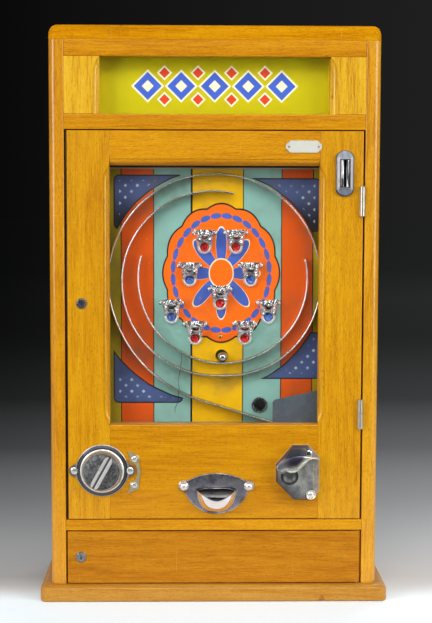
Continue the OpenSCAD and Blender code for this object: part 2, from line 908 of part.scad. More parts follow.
// Bare plate with clipped corners
module notice_plate() {
    w = 22.4;
    h = 7.6;
    clip = [6, 5];
    c = [door_cx + 110.5, door_z1 - 19.2];
    color([0.93, 0.92, 0.88])
        along_y(front_y - 1.2, front_y)
            translate(c)
                polygon([for (q = [[1, 1], [-1, 1], [-1, -1], [1, -1]]) each q[0] * q[1] > 0
                    ? [[q[0] * w, q[1] * (h - clip[1])], [q[0] * (w - clip[0]), q[1] * h]]
                    : [[q[0] * (w - clip[0]), q[1] * h], [q[0] * w, q[1] * (h - clip[1])]]]);
}

// Coin path behind the door

// Side view of the coin chute, grown by d
module chute_side(d) {
    y1 = trough_y[1];
    y0 = trough_y[0];
    top = entry_c[1] + slot_h / 2 + 2;
    low = entry_c[1] - slot_h / 2 - 2;
    polygon([
        [frame_y - (d > 0 ? 0 : 1), top + d], [frame_y - (d > 0 ? 0 : 1), low - d], [y0 - d, low - 26 - d],
        [y0 - d, tube_z1 + 40], [y1 + d, tube_z1 + 40], [y1 + d, low + d], [frame_y + 34, top + d]
    ]);
}

// Front view of the hopper over the coin tube
module hopper_front() {
    polygon([
        [chute_x1 + sheet, tube_z1 + 36], [chute_x1 + sheet, tube_z1 + 56], [chute_x0 - 24, tube_z1 + 56],
        [tube_c[0] - tube_r - 1, tube_z1 + 26], [tube_c[0] - tube_r - 1, tube_z1 + 1],
        [tube_c[0] + tube_r, tube_z1 + 1]
    ]);
}

module coin_chute() {
    floor_path = [[chute_x1 + sheet, tube_z1 + 36], [tube_c[0] + tube_r, tube_z1 + 1]];
    color(steel)
        union() {
            difference() {
                along_x(chute_x0 - sheet, chute_x1 + sheet) chute_side(sheet);
                along_x(chute_x0, chute_x1) chute_side(0);
                block([chute_x0, chute_x1], [trough_y[0], trough_y[1]], [tube_z1 + 30, tube_z1 + 60]);
                block([chute_x0 - 3, chute_x1], [trough_y[0], trough_y[1]], [tube_z1 + 30, tube_z1 + 55]);
            }
            along_y(trough_y[0] - sheet, trough_y[0]) hopper_front();
            along_y(trough_y[1], trough_y[1] + sheet) hopper_front();
            along_y(trough_y[0] - sheet, trough_y[1] + sheet) polygon(strip(floor_path, 1.4));
            block(
                [tube_c[0] - tube_r - 2, tube_c[0] - tube_r - 1], [trough_y[0] - sheet, trough_y[1] + sheet],
                [tube_z1 + 1, tube_z1 + 26]
            );
        }
}

module coin_tube() {
    color(brass)
        difference() {
            union() {
                rod_z(tube_c, tube_r + tube_wall, tube_z0, tube_z1);
                rod_z(tube_c, tube_r + tube_wall + 3, shelf_z0 + table_t, shelf_z0 + table_t + 2);
            }
            rod_z(tube_c, tube_r, tube_z0 - 1, tube_z1 + 1);
        }
}

// Bent bracket: table under the slide, back flange on the playfield, collar shelf for the tube
module coin_bracket() {
    color(steel)
        difference() {
            union() {
                block(bracket_x, [field_back, carry_y1 + 3], [table_z0, table_z1]);
                block(bracket_x, [field_back, field_back + table_t], [table_z0, shelf_z0 + table_t]);
                block(
                    [bracket_x[0], tube_c[0] + tube_r + 6], [field_back, carry_y1 + 3],
                    [shelf_z0, shelf_z0 + table_t]
                );
            }
            rod_z(tube_c, tube_r + tube_wall + run, shelf_z0 - 1, shelf_z0 + table_t + 1);
            rod_z([tube_c[0] + slide_travel, tube_c[1]], tube_r + 0.6, table_z0 - 1, table_z1 + 1);
        }
}

// Sloping trough along the door, then a ramp forward through the bottom rail
module payout_chute() {
    x0 = trough_x[0];
    x1 = trough_x[1];
    run_path = [[x1, trough_z[1]], [x0 + sheet, trough_z[0]]];
    ramp_path = [[trough_y[0] + 2, trough_z[0]], [front_y, ramp_z0]];
    module wall() {
        polygon([[x1, trough_z[1] - 0.5], [x1, table_z0], [bracket_x[0], table_z0], [x0, trough_z[0] + 14],
            [x0, trough_z[0] - 0.5]]);
    }
    color(steel)
        union() {
            along_y(trough_y[0] - sheet, trough_y[1] + sheet) polygon(strip(run_path, 1.4));
            along_y(trough_y[1], trough_y[1] + sheet) wall();
            difference() {
                along_y(trough_y[0] - sheet, trough_y[0]) wall();
                block(
                    [x0 + sheet, x0 + sheet + 2 * mouth_half], [trough_y[0] - 2, trough_y[0] + 1],
                    [0, table_z0]
                );
            }
            block(
                [x0, x0 + sheet], [trough_y[0] - sheet, trough_y[1] + sheet],
                [trough_z[0] - 0.5, trough_z[0] + 14]
            );
            along_x(x0, x0 + 2 * mouth_half + 2 * sheet) polygon(strip(ramp_path, 1.4));
            for (x = [x0, x0 + 2 * mouth_half + sheet])
                along_x(x, x + sheet)
                    polygon([
                        [trough_y[0], trough_z[0] - 0.5], [trough_y[0], trough_z[0] + 13],
                        [frame_y, trough_z[0]], [front_y, ramp_z0 + 7], [front_y, ramp_z0 - 0.5]
                    ]);
        }
}

module slide_guide() {
    z1 = carry_z1 + 5;
    color(steel)
        union() {
            difference() {
                block(guide_x, [field_back, strip_y1 + 4], [carry_z0 - 5, z1]);
                block(
                    [guide_x[0] - 1, guide_x[1] + 1], [strip_y0 - free, strip_y1 + free],
                    [carry_z0 - free, carry_z1 + free]
                );
            }
            rod_z(
                [guide_x[1] - 4, (strip_y0 + strip_y1) / 2], spring_post_r, z1 - 1, carry_z1 + spring_up + 6
            );
        }
}

// Tin gallery behind the cups: funnel, then a runway down to the ball's way out
module gallery_front(d) {
    x = [
        cup_cx - gallery_half + d, cup_cx - runway_half + d, cup_cx + runway_half - d,
        cup_cx + gallery_half - d
    ];
    end_x = eyelet_c[0] + eyelet_r - d;
    up = gallery_z[0] + d;
    side = gallery_z[1] + d;
    neck = gallery_z[2] + d;
    polygon([
        [x[0], up], [x[0], side], [x[1], neck], [x[1], gallery_z[3] + d], [end_x, eyelet_c[1] - runway_h + d],
        [end_x, eyelet_c[1] + runway_h], [x[2], gallery_z[3] + runway_h], [x[2], neck], [x[3], side],
        [x[3], up]
    ]);
}

module ball_gallery() {
    deep = 2 * ball_r + 7;
    color([0.66, 0.67, 0.66])
        difference() {
            along_y(field_back, field_back + deep) gallery_front(0);
            along_y(field_back - 1, field_back + deep - sheet) gallery_front(sheet);
        }
}

// Payout knob

module knob_escutcheon() {
    color(chrome)
        difference() {
            union() {
                turned(knob_c, front_y)
                    polygon([
                        [0, 0], [scutcheon_r, 0], [scutcheon_r, 1.6], [scutcheon_r - 1.4, 2.6], [28.4, 3.2],
                        [27.6, 4.8], [26.4, 5.4], [25.6, 6.2], [knob_r + 1.4, knob_floor + 1.2],
                        [knob_r + 1, knob_floor + 1.8], [knob_r + 0.5, knob_floor + 1.6],
                        [knob_r + 0.5, knob_floor],
                        [0, knob_floor]
                    ]);
                along_y(front_y - 2.6, front_y)
                    difference() {
                        for (s = [-1, 1]) {
                            translate([knob_c[0] + s * ear_x, knob_c[1]]) circle(r = ear_r);
                            translate(knob_c)
                                polygon([
                                    [s * ear_x, -ear_r], [s * ear_x, ear_r], [s * 24, 21], [s * 24, -21]
                                ]);
                        }
                        translate(knob_c) circle(r = 26);
                    }
                rod_y(knob_c, spindle_r + 4, front_y - 1, frame_y + 6);
            }
            rod_y(knob_c, spindle_r + run, front_y - knob_floor - 1, frame_y + 7);
        }
}

// Grip bar with rounded ends and a groove along its back
module payout_knob() {
    y = front_y - knob_floor - free;
    half = grip_len / 2 - grip_w / 2;
    color([0.30, 0.30, 0.31])
        translate([knob_c[0], y, knob_c[1]])
            rotate([90, 0, 0])
                rotate([0, 0, -grip_tilt])
                    difference() {
                        union() {
                            rotate_extrude()
                                polygon([
                                    [0, 0], [knob_r, 0], [knob_r, 1.6], [knob_r - 1.4, 2.6], [9, 3.4],
                                    [0, 3.4]
                                ]);
                            linear_extrude(height = 11)
                                union() {
                                    translate([-grip_w / 2, -half]) square([grip_w, 2 * half]);
                                    for (s = [-1, 1])
                                        translate([0, s * half]) circle(r = grip_w / 2);
                                }
                        }
                        translate([0, grip_len, 11.2]) rotate([90, 0, 0]) cylinder(r = 2.4, h = 2 * grip_len);
                    }
}

// Spindle behind the knob, with the crank arm and its pin
module payout_crank() {
    color(steel)
        union() {
            rod_y(knob_c, spindle_r, front_y - knob_floor - free, crank_y0 + crank_t + 1);
            along_y(crank_y0, crank_y0 + crank_t)
                translate(knob_c)
                    rotate(crank_swing)
                        union() {
                            circle(r = 10);
                            translate([0, crank_r]) circle(r = 6);
                            polygon([[-8, 0], [8, 0], [5, crank_r], [-5, crank_r]]);
                        }
            rod_y(rest_pin, pin_r, crank_y0 + crank_t - 1, fork_y0 + fork_t + 3);
        }
}

// Sheet slide: slotted fork on the crank pin, long strip, coin hole under the tube, spring lug
module payout_slide() {
    slot_z0 = rest_pin[1] - pin_r - 1;
    slot_z1 = knob_c[1] + crank_r + pin_r + 1;
    mid_y = (strip_y0 + strip_y1) / 2;
    color(steel)
        difference() {
            union() {
                block([strip_x0, carry_x0 + 5], [strip_y0, strip_y1], [carry_z0, carry_z1]);
                block([carry_x0, carry_x1], [strip_y0, carry_y1], [carry_z0, carry_z1]);
                block(
                    [strip_x0, strip_x0 + 2 * fork_half], [fork_y0, fork_y0 + fork_t],
                    [slot_z0 - 4, carry_z1]
                );
                block([lug_x, lug_x + fork_t], [mid_y - 6, mid_y + 6], [carry_z0, carry_z1 + lug_h]);
            }
            block(
                [rest_pin[0] - pin_r - pin_gap, rest_pin[0] + pin_r + pin_gap],
                [fork_y0 - 1, fork_y0 + fork_t + 4],
                [slot_z0, slot_z1]
            );
            rod_z(tube_c, tube_r, carry_z0 - 1, carry_z1 + 1);
        }
}

// Mouth in the plate: as wide as the bowl inside, from its foot up to the mouth's top
module payout_mouth(bowl) {
    side = [for (i = [2 : 8]) [bowl[i][0] - bowl_wall, max(mouth_z0, pay_foot + bowl[i][1])]];
    half = min(mouth_half, payout_r - bowl_wall);
    translate([pay_cx, 0])
        polygon(concat(
            [for (q = side) [min(half, q[0]), q[1]]], [[half, mouth_z1], [-half, mouth_z1]],
            [for (i = [len(side) - 1 : -1 : 0]) [-min(half, side[i][0]), side[i][1]]]
        ));
}

// Eye-shaped plate with a half bowl hung under its mouth
module payout_cup() {
    rim = pay_rim - pay_foot;
    foot_r = 8;
    up_r = (eye_half * eye_half + eye_rise * eye_rise) / (2 * eye_rise);
    low_r = (eye_half * eye_half + eye_drop * eye_drop) / (2 * eye_drop);
    up_a = asin(eye_half / up_r);
    low_a = asin(eye_half / low_r);
    bowl = [for (i = [0 : 8])
        let (a = i * 90 / 8)
            [foot_r + (payout_r - foot_r) * sin(a), rim * (1 - cos(a))]];
    color(chrome)
        union() {
            difference() {
                along_y(front_y - pay_plate, front_y)
                    translate([pay_cx, pay_z])
                        union() {
                            polygon(concat(
                                arc([0, eye_flat + eye_rise - up_r], up_r, 90 - up_a, 90 + up_a, 16),
                                arc([0, low_r - eye_drop - eye_flat], low_r, 270 - low_a, 270 + low_a, 20)
                            ));
                            for (s = [-1, 1])
                                translate([s * 41, 1]) circle(r = 7.2);
                        }
                along_y(front_y - 3, front_y + 1) payout_mouth(bowl);
            }
            translate([pay_cx, front_y - pay_plate + eps, pay_foot])
                rotate([0, 0, 180])
                    rotate_extrude(angle = 180)
                        polygon(concat(
                            [[0, 0]], bowl,
                            [for (i = [8 : -1 : 0]) bowl[i] + [-bowl_wall, i > 7 ? 0 : bowl_wall]],
                            [[0, bowl_wall]]
                        ));
        }
}

// Small plate that hooks round the escutcheon's ear
module keeper_bracket() {
    x = knob_c[0] + 40;
    color(chrome)
        along_y(front_y - 2, front_y)
            difference() {
                union() {
                    for (s = [-1, 1])
                        translate([x, knob_c[1] - 2.6 + s * 18]) circle(r = 9);
                    translate([x, knob_c[1] - 20.6]) square([9, 36]);
                }
                translate([knob_c[0] + ear_x, knob_c[1]]) circle(r = ear_r + 1.2);
            }
}

// Trigger

// Eight-sided plan of the trigger housing about its middle
module housing_plan() {
    polygon([
        [-27.5, -11.5], [-4, -35], [20, -35], [27.5, -24], [27.5, 20], [14, 35], [-6, 35], [-27.5, 10.5]
    ]);
}

module trigger_housing() {
    color(chrome)
        difference() {
            union() {
                translate([housing_c[0], front_y, housing_c[1]])
                    rotate([90, 0, 0])
                        union() {
                            linear_extrude(height = 3) housing_plan();
                            translate([-flank_x, 0, 2.9])
                                linear_extrude(
                                    height = housing_h - 2.9, scale = [0.78, 0.9], slices = 1, segments = 8
                                )
                                    translate([flank_x, 0]) housing_plan();
                        }
                rod_y(trig_c, spindle_r + 4, front_y - 1, frame_y);
            }
            rod_y(trig_c, spindle_r + run, front_y - housing_h - 1, frame_y + 1);
            translate([housing_c[0] - 10.5, front_y - housing_h - 9, housing_c[1] - 3.2]) sphere(r = 14);
            rod_y(housing_c + housing_screw, 7.4, front_y - housing_h - 1, front_y - 5);
            rod_y(housing_c + [14, 25], 5, front_y - housing_h - 1, front_y - 8);
        }
}

// Web of S outline from a round lobe to the finger's tip, with a raised lip along its lower edge
module trigger_lever() {
    web = concat(
        arc([11, -48], 60.4, 71.6, 119, 12), arc([-16.5, -3], 6.4, 130, 325, 12),
        arc([-4, 5.6], 14, 238, 318, 12), arc([23.6, -3.2], 12, 142, 57, 10)
    );
    lip = concat(
        arc([-16.5, -3], 5.3, 205, 322, 8), arc([-4, 5.6], 12.9, 240, 318, 12),
        arc([23.6, -3.2], 13.1, 142, 60, 10)
    );
    color(chrome)
        translate([trig_c[0], lever_y1, trig_c[1]])
            rotate([90, 0, 0])
                union() {
                    rotate_extrude()
                        polygon([
                            [0, 0], [hub_r, 0], [hub_r, lever_web + 0.4], [hub_r - 1.6, lever_web + 1.2],
                            [0, lever_web + 1.2]
                        ]);
                    linear_extrude(height = lever_web) polygon(web);
                    linear_extrude(height = lever_t) polygon(strip(lip, 2));
                }
}

// Spindle with the striker arm and its head
module striker() {
    y1 = arm_y0 + arm_t;
    top = [trig_c[0], trig_c[1] + striker_len];
    color(steel)
        union() {
            rod_y(trig_c, spindle_r, lever_y1, y1 + 2);
            along_y(arm_y0, y1)
                union() {
                    translate(trig_c) circle(r = 9);
                    translate(trig_c)
                        polygon([[-arm_w / 2, 0], [arm_w / 2, 0], [arm_w / 2 - 1, striker_len],
                            [-arm_w / 2, striker_len]]);
                }
            along_y(arm_y0, y1)
                polygon(rounded(top - [7, 6], top + [6, 6], [1.5, 1.5, 1.5, 1.5]));
        }
}

// Plate behind the bottom rail with the spring's anchor and the striker's stop
module trigger_plate() {
    y1 = frame_y + plate_t;
    color(steel)
        difference() {
            union() {
                along_y(frame_y, y1)
                    polygon(
                        rounded(
                            [anchor_x - 8, trig_c[1] - 16], [trig_c[0] + 18, trig_c[1] + 40], [6, 6, 6, 6]
                        )
                    );
                rod_y([anchor_x, trig_c[1] + hook_up], spring_post_r, y1 - 1, arm_y0 + arm_t);
                rod_y(
                    [trig_c[0] - arm_w / 2 - free - stop_r, trig_c[1] + stop_up], stop_r, y1 - 1,
                    arm_y0 + arm_t
                );
            }
            rod_y(trig_c, spindle_r + run, frame_y - 1, y1 + 1);
        }
}

module dome_screws() {
    spots = [[pay_cx - 41, pay_z + 1, pay_plate], [pay_cx + 41, pay_z + 1, pay_plate],
        [housing_c[0] + housing_screw[0], housing_c[1] + housing_screw[1], 5]];
    color(chrome)
        for (s = spots)
            turned([s[0], s[1]], front_y - s[2])
                polygon(concat([[0, 0]], arc([0, 0], 6, 0, 90, 8)));
}

// Locks: barrel with a round face, and a plug that carries the cam

module lock_barrel(c) {
    color(chrome)
        difference() {
            union() {
                rod_y(c, lock_r - 0.02, front_y - 0.5, lock_y1 - free);
                turned(c, front_y)
                    polygon([[0, 0], [lock_face_r, 0], [lock_face_r, 1], [lock_face_r - 1, 2], [0, 2]]);
            }
            rod_y(c, plug_r + run, front_y - 3, lock_y1);
        }
}

module lock_plug(c) {
    color(steel)
        difference() {
            union() {
                rod_y(c, plug_r, front_y - 2, lock_y1 + cam_t);
                along_y(lock_y1, lock_y1 + cam_t)
                    union() {
                        translate(c) circle(r = cam_w / 2 + 1);
                        translate([c[0] - cam_w / 2, c[1]]) square([cam_w, cam_len]);
                    }
            }
            block([c[0] - 0.7, c[0] + 0.7], [front_y - 3, front_y + 8], [c[1] - 2.6, c[1] + 2.6]);
        }
}

module door_lock_barrel() {
    lock_barrel(door_lock);
}

module door_lock_plug() {
    lock_plug(door_lock);
}

module cash_lock_barrel() {
    lock_barrel(cash_lock);
}

module cash_lock_plug() {
    lock_plug(cash_lock);
}

// Cash door: its hinged front corner is rounded about the pivots
module cash_door() {
    color(oak)
        difference() {
            along_z(cash_z0, cash_z1)
                polygon(rounded([door_x0, front_y], [cash_x1, front_y + cash_t], [1, pivot_corner, 1, 1]));
            rod_y(cash_lock, lock_r, front_y - 1, front_y + cash_t + 1);
            for (z = [cash_z0 - 1, cash_z1 - pivot_len])
                rod_z([pivot_x, pivot_y], pivot_r + 0.02, z, z + pivot_len + 1);
        }
}

module cash_pivots() {
    reach = gap_v + pivot_len - 2;
    color(steel) {
        rod_z([pivot_x, pivot_y], pivot_r, cash_z0 - reach, cash_z0 + pivot_len);
        rod_z([pivot_x, pivot_y], pivot_r, cash_z1 - pivot_len, cash_z1 + reach);
    }
}

module steel_ball() {
    color([0.70, 0.71, 0.72])
        translate([bowl_c[0], ball_y, bowl_c[1] - ball_orbit]) sphere(r = ball_r, $fn = 64);
}

// Springs: close-wound wire about a level axis, its two ends running out straight

// Points along the wire from x0 to x1, as [x, across, up] about the axis
function coil_path(x0, x1, turns) = concat(
    [[x0, coil_r, -3 * wire_r]],
    [for (i = [0 : turns * curl_rings])
        [
            x0 + (x1 - x0) * i / (turns * curl_rings),
            coil_r * cos(360 * i / curl_rings), coil_r * sin(360 * i / curl_rings)
        ]],
    [[x1, coil_r, 3 * wire_r]]
);

// Six-sided ring of the wire about point p, lying in the plane of the axis and the radius
function wire_ring(p, a) = [for (k = [0 : wire_sides - 1])
    p + wire_r * [
        sin(360 * k / wire_sides), cos(360 * k / wire_sides) * cos(a), cos(360 * k / wire_sides) * sin(a)
    ]];

function ring_angle(i, n) = i == 0 || i == n - 1 ? 0 : 360 * (i - 1) / curl_rings;

module coil(x0, x1, turns) {
    path = coil_path(x0, x1, turns);
    n = len(path);
    pts = [for (i = [0 : n - 1]) each wire_ring(path[i], ring_angle(i, n))];
    walls = [for (i = [0 : n - 2], k = [0 : wire_sides - 1])
        let (a = i * wire_sides + k, b = i * wire_sides + (k + 1) % wire_sides)
        each [[a, a + wire_sides, b], [b, a + wire_sides, b + wire_sides]]];
    first = [for (k = [1 : wire_sides - 2]) [0, k, k + 1]];
    last = [for (k = [1 : wire_sides - 2])
        [(n - 1) * wire_sides, (n - 1) * wire_sides + k + 1, (n - 1) * wire_sides + k]];
    polyhedron(points = pts, faces = concat(walls, first, last), convexity = 10);
    least = min([for (i = [0 : n - 1], j = [i + curl_rings - 2 : 1 : n - 1])
        norm(path[i] - path[j])]) - 2 * wire_r;
    echo("least gap between coils", least);
}

module striker_spring() {
    color(steel)
        translate([0, arm_y0 + arm_t / 2, trig_c[1] + hook_up])
            coil(
                anchor_x + spring_post_r + wire_r + free, trig_c[0] - arm_w / 2 - wire_r - free,
                trigger_coils
            );
}

module payout_spring() {
    color(steel)
        translate([0, (strip_y0 + strip_y1) / 2, carry_z1 + spring_up])
            coil(guide_x[1] - 4 + spring_post_r + wire_r + free, lug_x - wire_r - free, payout_coils);
}

base_plinth();
left_side();
right_side();
top_board();
back_board();
cash_shelf();
mid_rail();
sign_rails();
sign_stiles();
sign_glass();
sign_panel();
sign_carriers();
door_stop();
hinge_case_leaves();
door_left_stile();
door_right_stile();
door_top_rail();
door_bottom_rail();
door_glass();
door_strips();
playfield_board();
outer_rail();
middle_rail();
inner_rail();
ball_cups();
red_jewels();
blue_jewels();
lost_peg();
ball_eyelet();
striker_cover();
coin_entry();
notice_plate();
coin_chute();
coin_tube();
coin_bracket();
payout_chute();
slide_guide();
ball_gallery();
knob_escutcheon();
keeper_bracket();
payout_cup();
trigger_housing();
trigger_plate();
dome_screws();
hinge_door_leaves();
door_lock_barrel();
payout_knob();
payout_crank();
payout_slide();
payout_spring();
trigger_lever();
striker();
striker_spring();
steel_ball();
door_lock_plug();
cash_door();
cash_pivots();
cash_lock_barrel();
cash_lock_plug();
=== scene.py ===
"""Looks of a wall-hung penny ball game in an oak case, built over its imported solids."""

import json
import logging
import math
from dataclasses import dataclass
from enum import Enum
from functools import reduce
from typing import ClassVar, Sequence

import bmesh
import bpy
import numpy as np
from mathutils import Matrix, Vector


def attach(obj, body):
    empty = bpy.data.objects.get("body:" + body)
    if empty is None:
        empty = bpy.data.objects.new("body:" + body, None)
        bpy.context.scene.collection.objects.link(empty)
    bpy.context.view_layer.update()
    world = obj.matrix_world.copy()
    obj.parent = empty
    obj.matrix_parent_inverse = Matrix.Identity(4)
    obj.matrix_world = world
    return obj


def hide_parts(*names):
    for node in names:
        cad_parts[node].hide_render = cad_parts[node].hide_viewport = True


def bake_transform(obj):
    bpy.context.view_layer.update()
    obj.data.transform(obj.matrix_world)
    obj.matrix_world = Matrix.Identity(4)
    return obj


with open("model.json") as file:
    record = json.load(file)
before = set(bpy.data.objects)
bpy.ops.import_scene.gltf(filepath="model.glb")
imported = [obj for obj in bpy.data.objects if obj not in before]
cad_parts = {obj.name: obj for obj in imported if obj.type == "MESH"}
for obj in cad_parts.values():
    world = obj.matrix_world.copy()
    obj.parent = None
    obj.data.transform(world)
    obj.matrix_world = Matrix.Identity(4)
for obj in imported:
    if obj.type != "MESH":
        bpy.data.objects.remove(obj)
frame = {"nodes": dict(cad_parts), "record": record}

LOG = logging.getLogger("penny_ball_game")
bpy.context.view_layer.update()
MM = 0.001
Colour = tuple[float, float, float]
Spot = tuple[float, float]
Material = bpy.types.Material
Piece = bpy.types.Object
Socket = bpy.types.NodeSocket

INK: Colour = (0.012, 0.011, 0.012)
CREAM: Colour = (0.80, 0.74, 0.52)
# In millimetres: y of the door's front and of the playfield, then x and z of the lane's and the knob's middle
FRONT = -90.0
FIELD = -54.0
LANE: Spot = (0.4, 405.0)
KNOB: Spot = (-141.0, 166.8)


# Material nodes


class Wire:
    """A value on its way through the nodes of one finish, with plain arithmetic."""

    def __init__(self, sheet: "Sheet", socket: Socket) -> None:
        """Keeps the finish and the socket that the value comes from."""
        self.sheet = sheet
        self.socket = socket

    def _with(self, kind: str, *others: "Wire | float") -> "Wire":
        """One math node of that kind, with this value first."""
        return self.sheet.math(kind, self, *others)

    def __add__(self, other: "Wire | float") -> "Wire":
        """Sum."""
        return self._with("ADD", other)

    def __sub__(self, other: "Wire | float") -> "Wire":
        """Difference."""
        return self._with("SUBTRACT", other)

    def __mul__(self, other: "Wire | float") -> "Wire":
        """Product."""
        return self._with("MULTIPLY", other)

    def __truediv__(self, other: "Wire | float") -> "Wire":
        """Quotient."""
        return self._with("DIVIDE", other)

    def __abs__(self) -> "Wire":
        """Size without its sign."""
        return self._with("ABSOLUTE")

    def root(self) -> "Wire":
        """Square root."""
        return self._with("SQRT")

    def slant(self, other: "Wire") -> "Wire":
        """Length of the slanting side over two square sides."""
        return (self * self + other * other).root()

    def cos(self) -> "Wire":
        """Cosine of an angle in radians."""
        return self._with("COSINE")

    def fold(self, width: float) -> "Wire":
        """Runs up and down between 0 and width, as a zigzag."""
        return self._with("PINGPONG", width)

    def least(self, other: "Wire | float") -> "Wire":
        """The smaller of two."""
        return self._with("MINIMUM", other)

    def most(self, other: "Wire | float") -> "Wire":
        """The larger of two."""
        return self._with("MAXIMUM", other)

    def angle_to(self, other: "Wire") -> "Wire":
        """Angle of the point (other, self) in radians."""
        return self._with("ARCTAN2", other)

    def step(self, low: float, high: float) -> "Wire":
        """0 up to low, 1 from high, and a smooth rise between them.

        Args:
            low: value that becomes 0.
            high: value that becomes 1; it may be the smaller one.

        Returns:
            The risen value.
        """
        node = self.sheet.node("ShaderNodeMapRange")
        node.interpolation_type = "SMOOTHSTEP"
        flip = low > high
        self.sheet.feed(node.inputs[0], self)
        node.inputs[1].default_value = min(low, high)
        node.inputs[2].default_value = max(low, high)
        node.inputs[3].default_value = 1.0 if flip else 0.0
        node.inputs[4].default_value = 0.0 if flip else 1.0
        return Wire(self.sheet, node.outputs[0])

    def span(self, low: float, high: float, to_low: float, to_high: float) -> "Wire":
        """Straight line from low..high to to_low..to_high, held at its ends."""
        node = self.sheet.node("ShaderNodeMapRange")
        self.sheet.feed(node.inputs[0], self)
        for k, value in enumerate((low, high, to_low, to_high)):
            node.inputs[k + 1].default_value = value
        return Wire(self.sheet, node.outputs[0])


class Sheet:
    """The node tree of one finish, read on Object coordinates in millimetres."""

    def __init__(self, name: str) -> None:
        """Makes an empty material with its shader and output.

        Args:
            name: the finish's name.
        """
        self.material = bpy.data.materials.new(name)
        self.material.use_nodes = True
        self.tree = self.material.node_tree
        self.tree.nodes.clear()
        self.output = self.node("ShaderNodeOutputMaterial")
        self.shader = self.node("ShaderNodeBsdfPrincipled")
        self.tree.links.new(self.shader.outputs[0], self.output.inputs[0])
        self.coords = self.node("ShaderNodeTexCoord").outputs["Object"]

    def node(self, kind: str) -> bpy.types.Node:
        """A new node of that kind."""
        return self.tree.nodes.new(kind)

    def feed(self, socket: Socket, value: "Wire | float | Sequence[float]") -> None:
        """Links a wire to a socket, or sets a constant on it."""
        if isinstance(value, Wire):
            self.tree.links.new(value.socket, socket)
        elif isinstance(value, (int, float)):
            socket.default_value = value
        else:
            socket.default_value = (*value, 1.0) if socket.type == "RGBA" else tuple(value)

    def math(self, kind: str, *values: "Wire | float") -> Wire:
        """One math node on the given values."""
        node = self.node("ShaderNodeMath")
        node.operation = kind
        for socket, value in zip(node.inputs, values):
            self.feed(socket, value)
        return Wire(self, node.outputs[0])

    def place(
        self, scale: Sequence[float] = (1, 1, 1), shift: Sequence[float] = (0, 0, 0), turn: float = 0.0
    ) -> Wire:
        """Place on the piece in millimetres, stretched, turned about Y and shifted.

        Args:
            scale: factor on each axis.
            shift: added after the scale.
            turn: angle about Y in radians.

        Returns:
            The vector.
        """
        node = self.node("ShaderNodeMapping")
        self.tree.links.new(self.coords, node.inputs["Vector"])
        node.inputs["Scale"].default_value = [1000.0 * s for s in scale]
        node.inputs["Location"].default_value = tuple(shift)
        node.inputs["Rotation"].default_value = (0, turn, 0)
        return Wire(self, node.outputs[0])

    def axes(self) -> tuple[Wire, Wire, Wire]:
        """The three coordinates in millimetres."""
        node = self.node("ShaderNodeSeparateXYZ")
        self.feed(node.inputs[0], self.place())
        return tuple(Wire(self, o) for o in node.outputs)

    def noise(self, where: Wire, detail: float = 2.0, rough: float = 0.5, twist: float = 0.0) -> Wire:
        """Smooth noise between 0 and 1 at a stretched place."""
        node = self.node("ShaderNodeTexNoise")
        self.feed(node.inputs["Vector"], where)
        node.inputs["Scale"].default_value = 1.0
        node.inputs["Detail"].default_value = detail
        node.inputs["Roughness"].default_value = rough
        node.inputs["Distortion"].default_value = twist
        return Wire(self, node.outputs[0])

    def even(self, pace: float, detail: float, rough: float = 0.5, shift: Sequence[float] = (0, 0, 0)) -> Wire:
        """Noise with the same pace, in cycles per millimetre, on all three axes."""
        return self.noise(self.place((pace, pace, pace), shift), detail, rough)

    def cells(self, where: Wire) -> Wire:
        """One random level for each cell of a Voronoi pattern."""
        node = self.node("ShaderNodeTexVoronoi")
        self.feed(node.inputs["Vector"], where)
        node.inputs["Scale"].default_value = 1.0
        split = self.node("ShaderNodeSeparateColor")
        self.tree.links.new(node.outputs["Color"], split.inputs[0])
        return Wire(self, split.outputs[0])

    def ramp(self, value: Wire, stops: Sequence[tuple[float, Colour]], hard: bool = False) -> Wire:
        """Colour by value through a row of stops.

        Args:
            value: runs over the stops' places, 0 to 1.
            stops: place and colour of each.
            hard: True for sharp edges between the stops.

        Returns:
            The colour.
        """
        node = self.node("ShaderNodeValToRGB")
        bar = node.color_ramp
        bar.interpolation = "CONSTANT" if hard else "LINEAR"
        while len(bar.elements) < len(stops):
            bar.elements.new(0.5)
        for element, (where, colour) in zip(bar.elements, stops):
            element.position = where
            element.color = (*colour, 1.0)
        self.feed(node.inputs[0], value)
        return Wire(self, node.outputs[0])

    def mix(self, share: "Wire | float", first: "Wire | Colour", second: "Wire | Colour") -> Wire:
        """Two colours blended by a share of the second."""
        node = self.node("ShaderNodeMix")
        node.data_type = "RGBA"
        self.feed(node.inputs[0], share)
        self.feed(node.inputs[6], first)
        self.feed(node.inputs[7], second)
        return Wire(self, node.outputs[2])

    def coats(self, ground: "Wire | Colour", *layers: "tuple[Wire | float, Wire | Colour]") -> "Wire | Colour":
        """Colours laid over a ground one after the other, each by its share."""
        return reduce(lambda under, layer: self.mix(layer[0], under, layer[1]), layers, ground)

    def bump(self, height: Wire, depth: float, strength: float = 1.0) -> Wire:
        """Surface normal of a height that runs 0 to 1 over a depth in millimetres."""
        node = self.node("ShaderNodeBump")
        node.inputs["Strength"].default_value = strength
        node.inputs["Distance"].default_value = depth * MM
        self.feed(node.inputs["Height"], height)
        return Wire(self, node.outputs[0])

    def close(self, **values: "Wire | float | Colour") -> Material:
        """Sets the shader's sockets, named with underscores, and gives the material."""
        for key, value in values.items():
            self.feed(self.shader.inputs[key.replace("_", " ")], value)
        return self.material


class Grain(Enum):
    """Which way the wood's fibres run, as the number of that axis."""

    LEVEL = 0
    UPRIGHT = 2


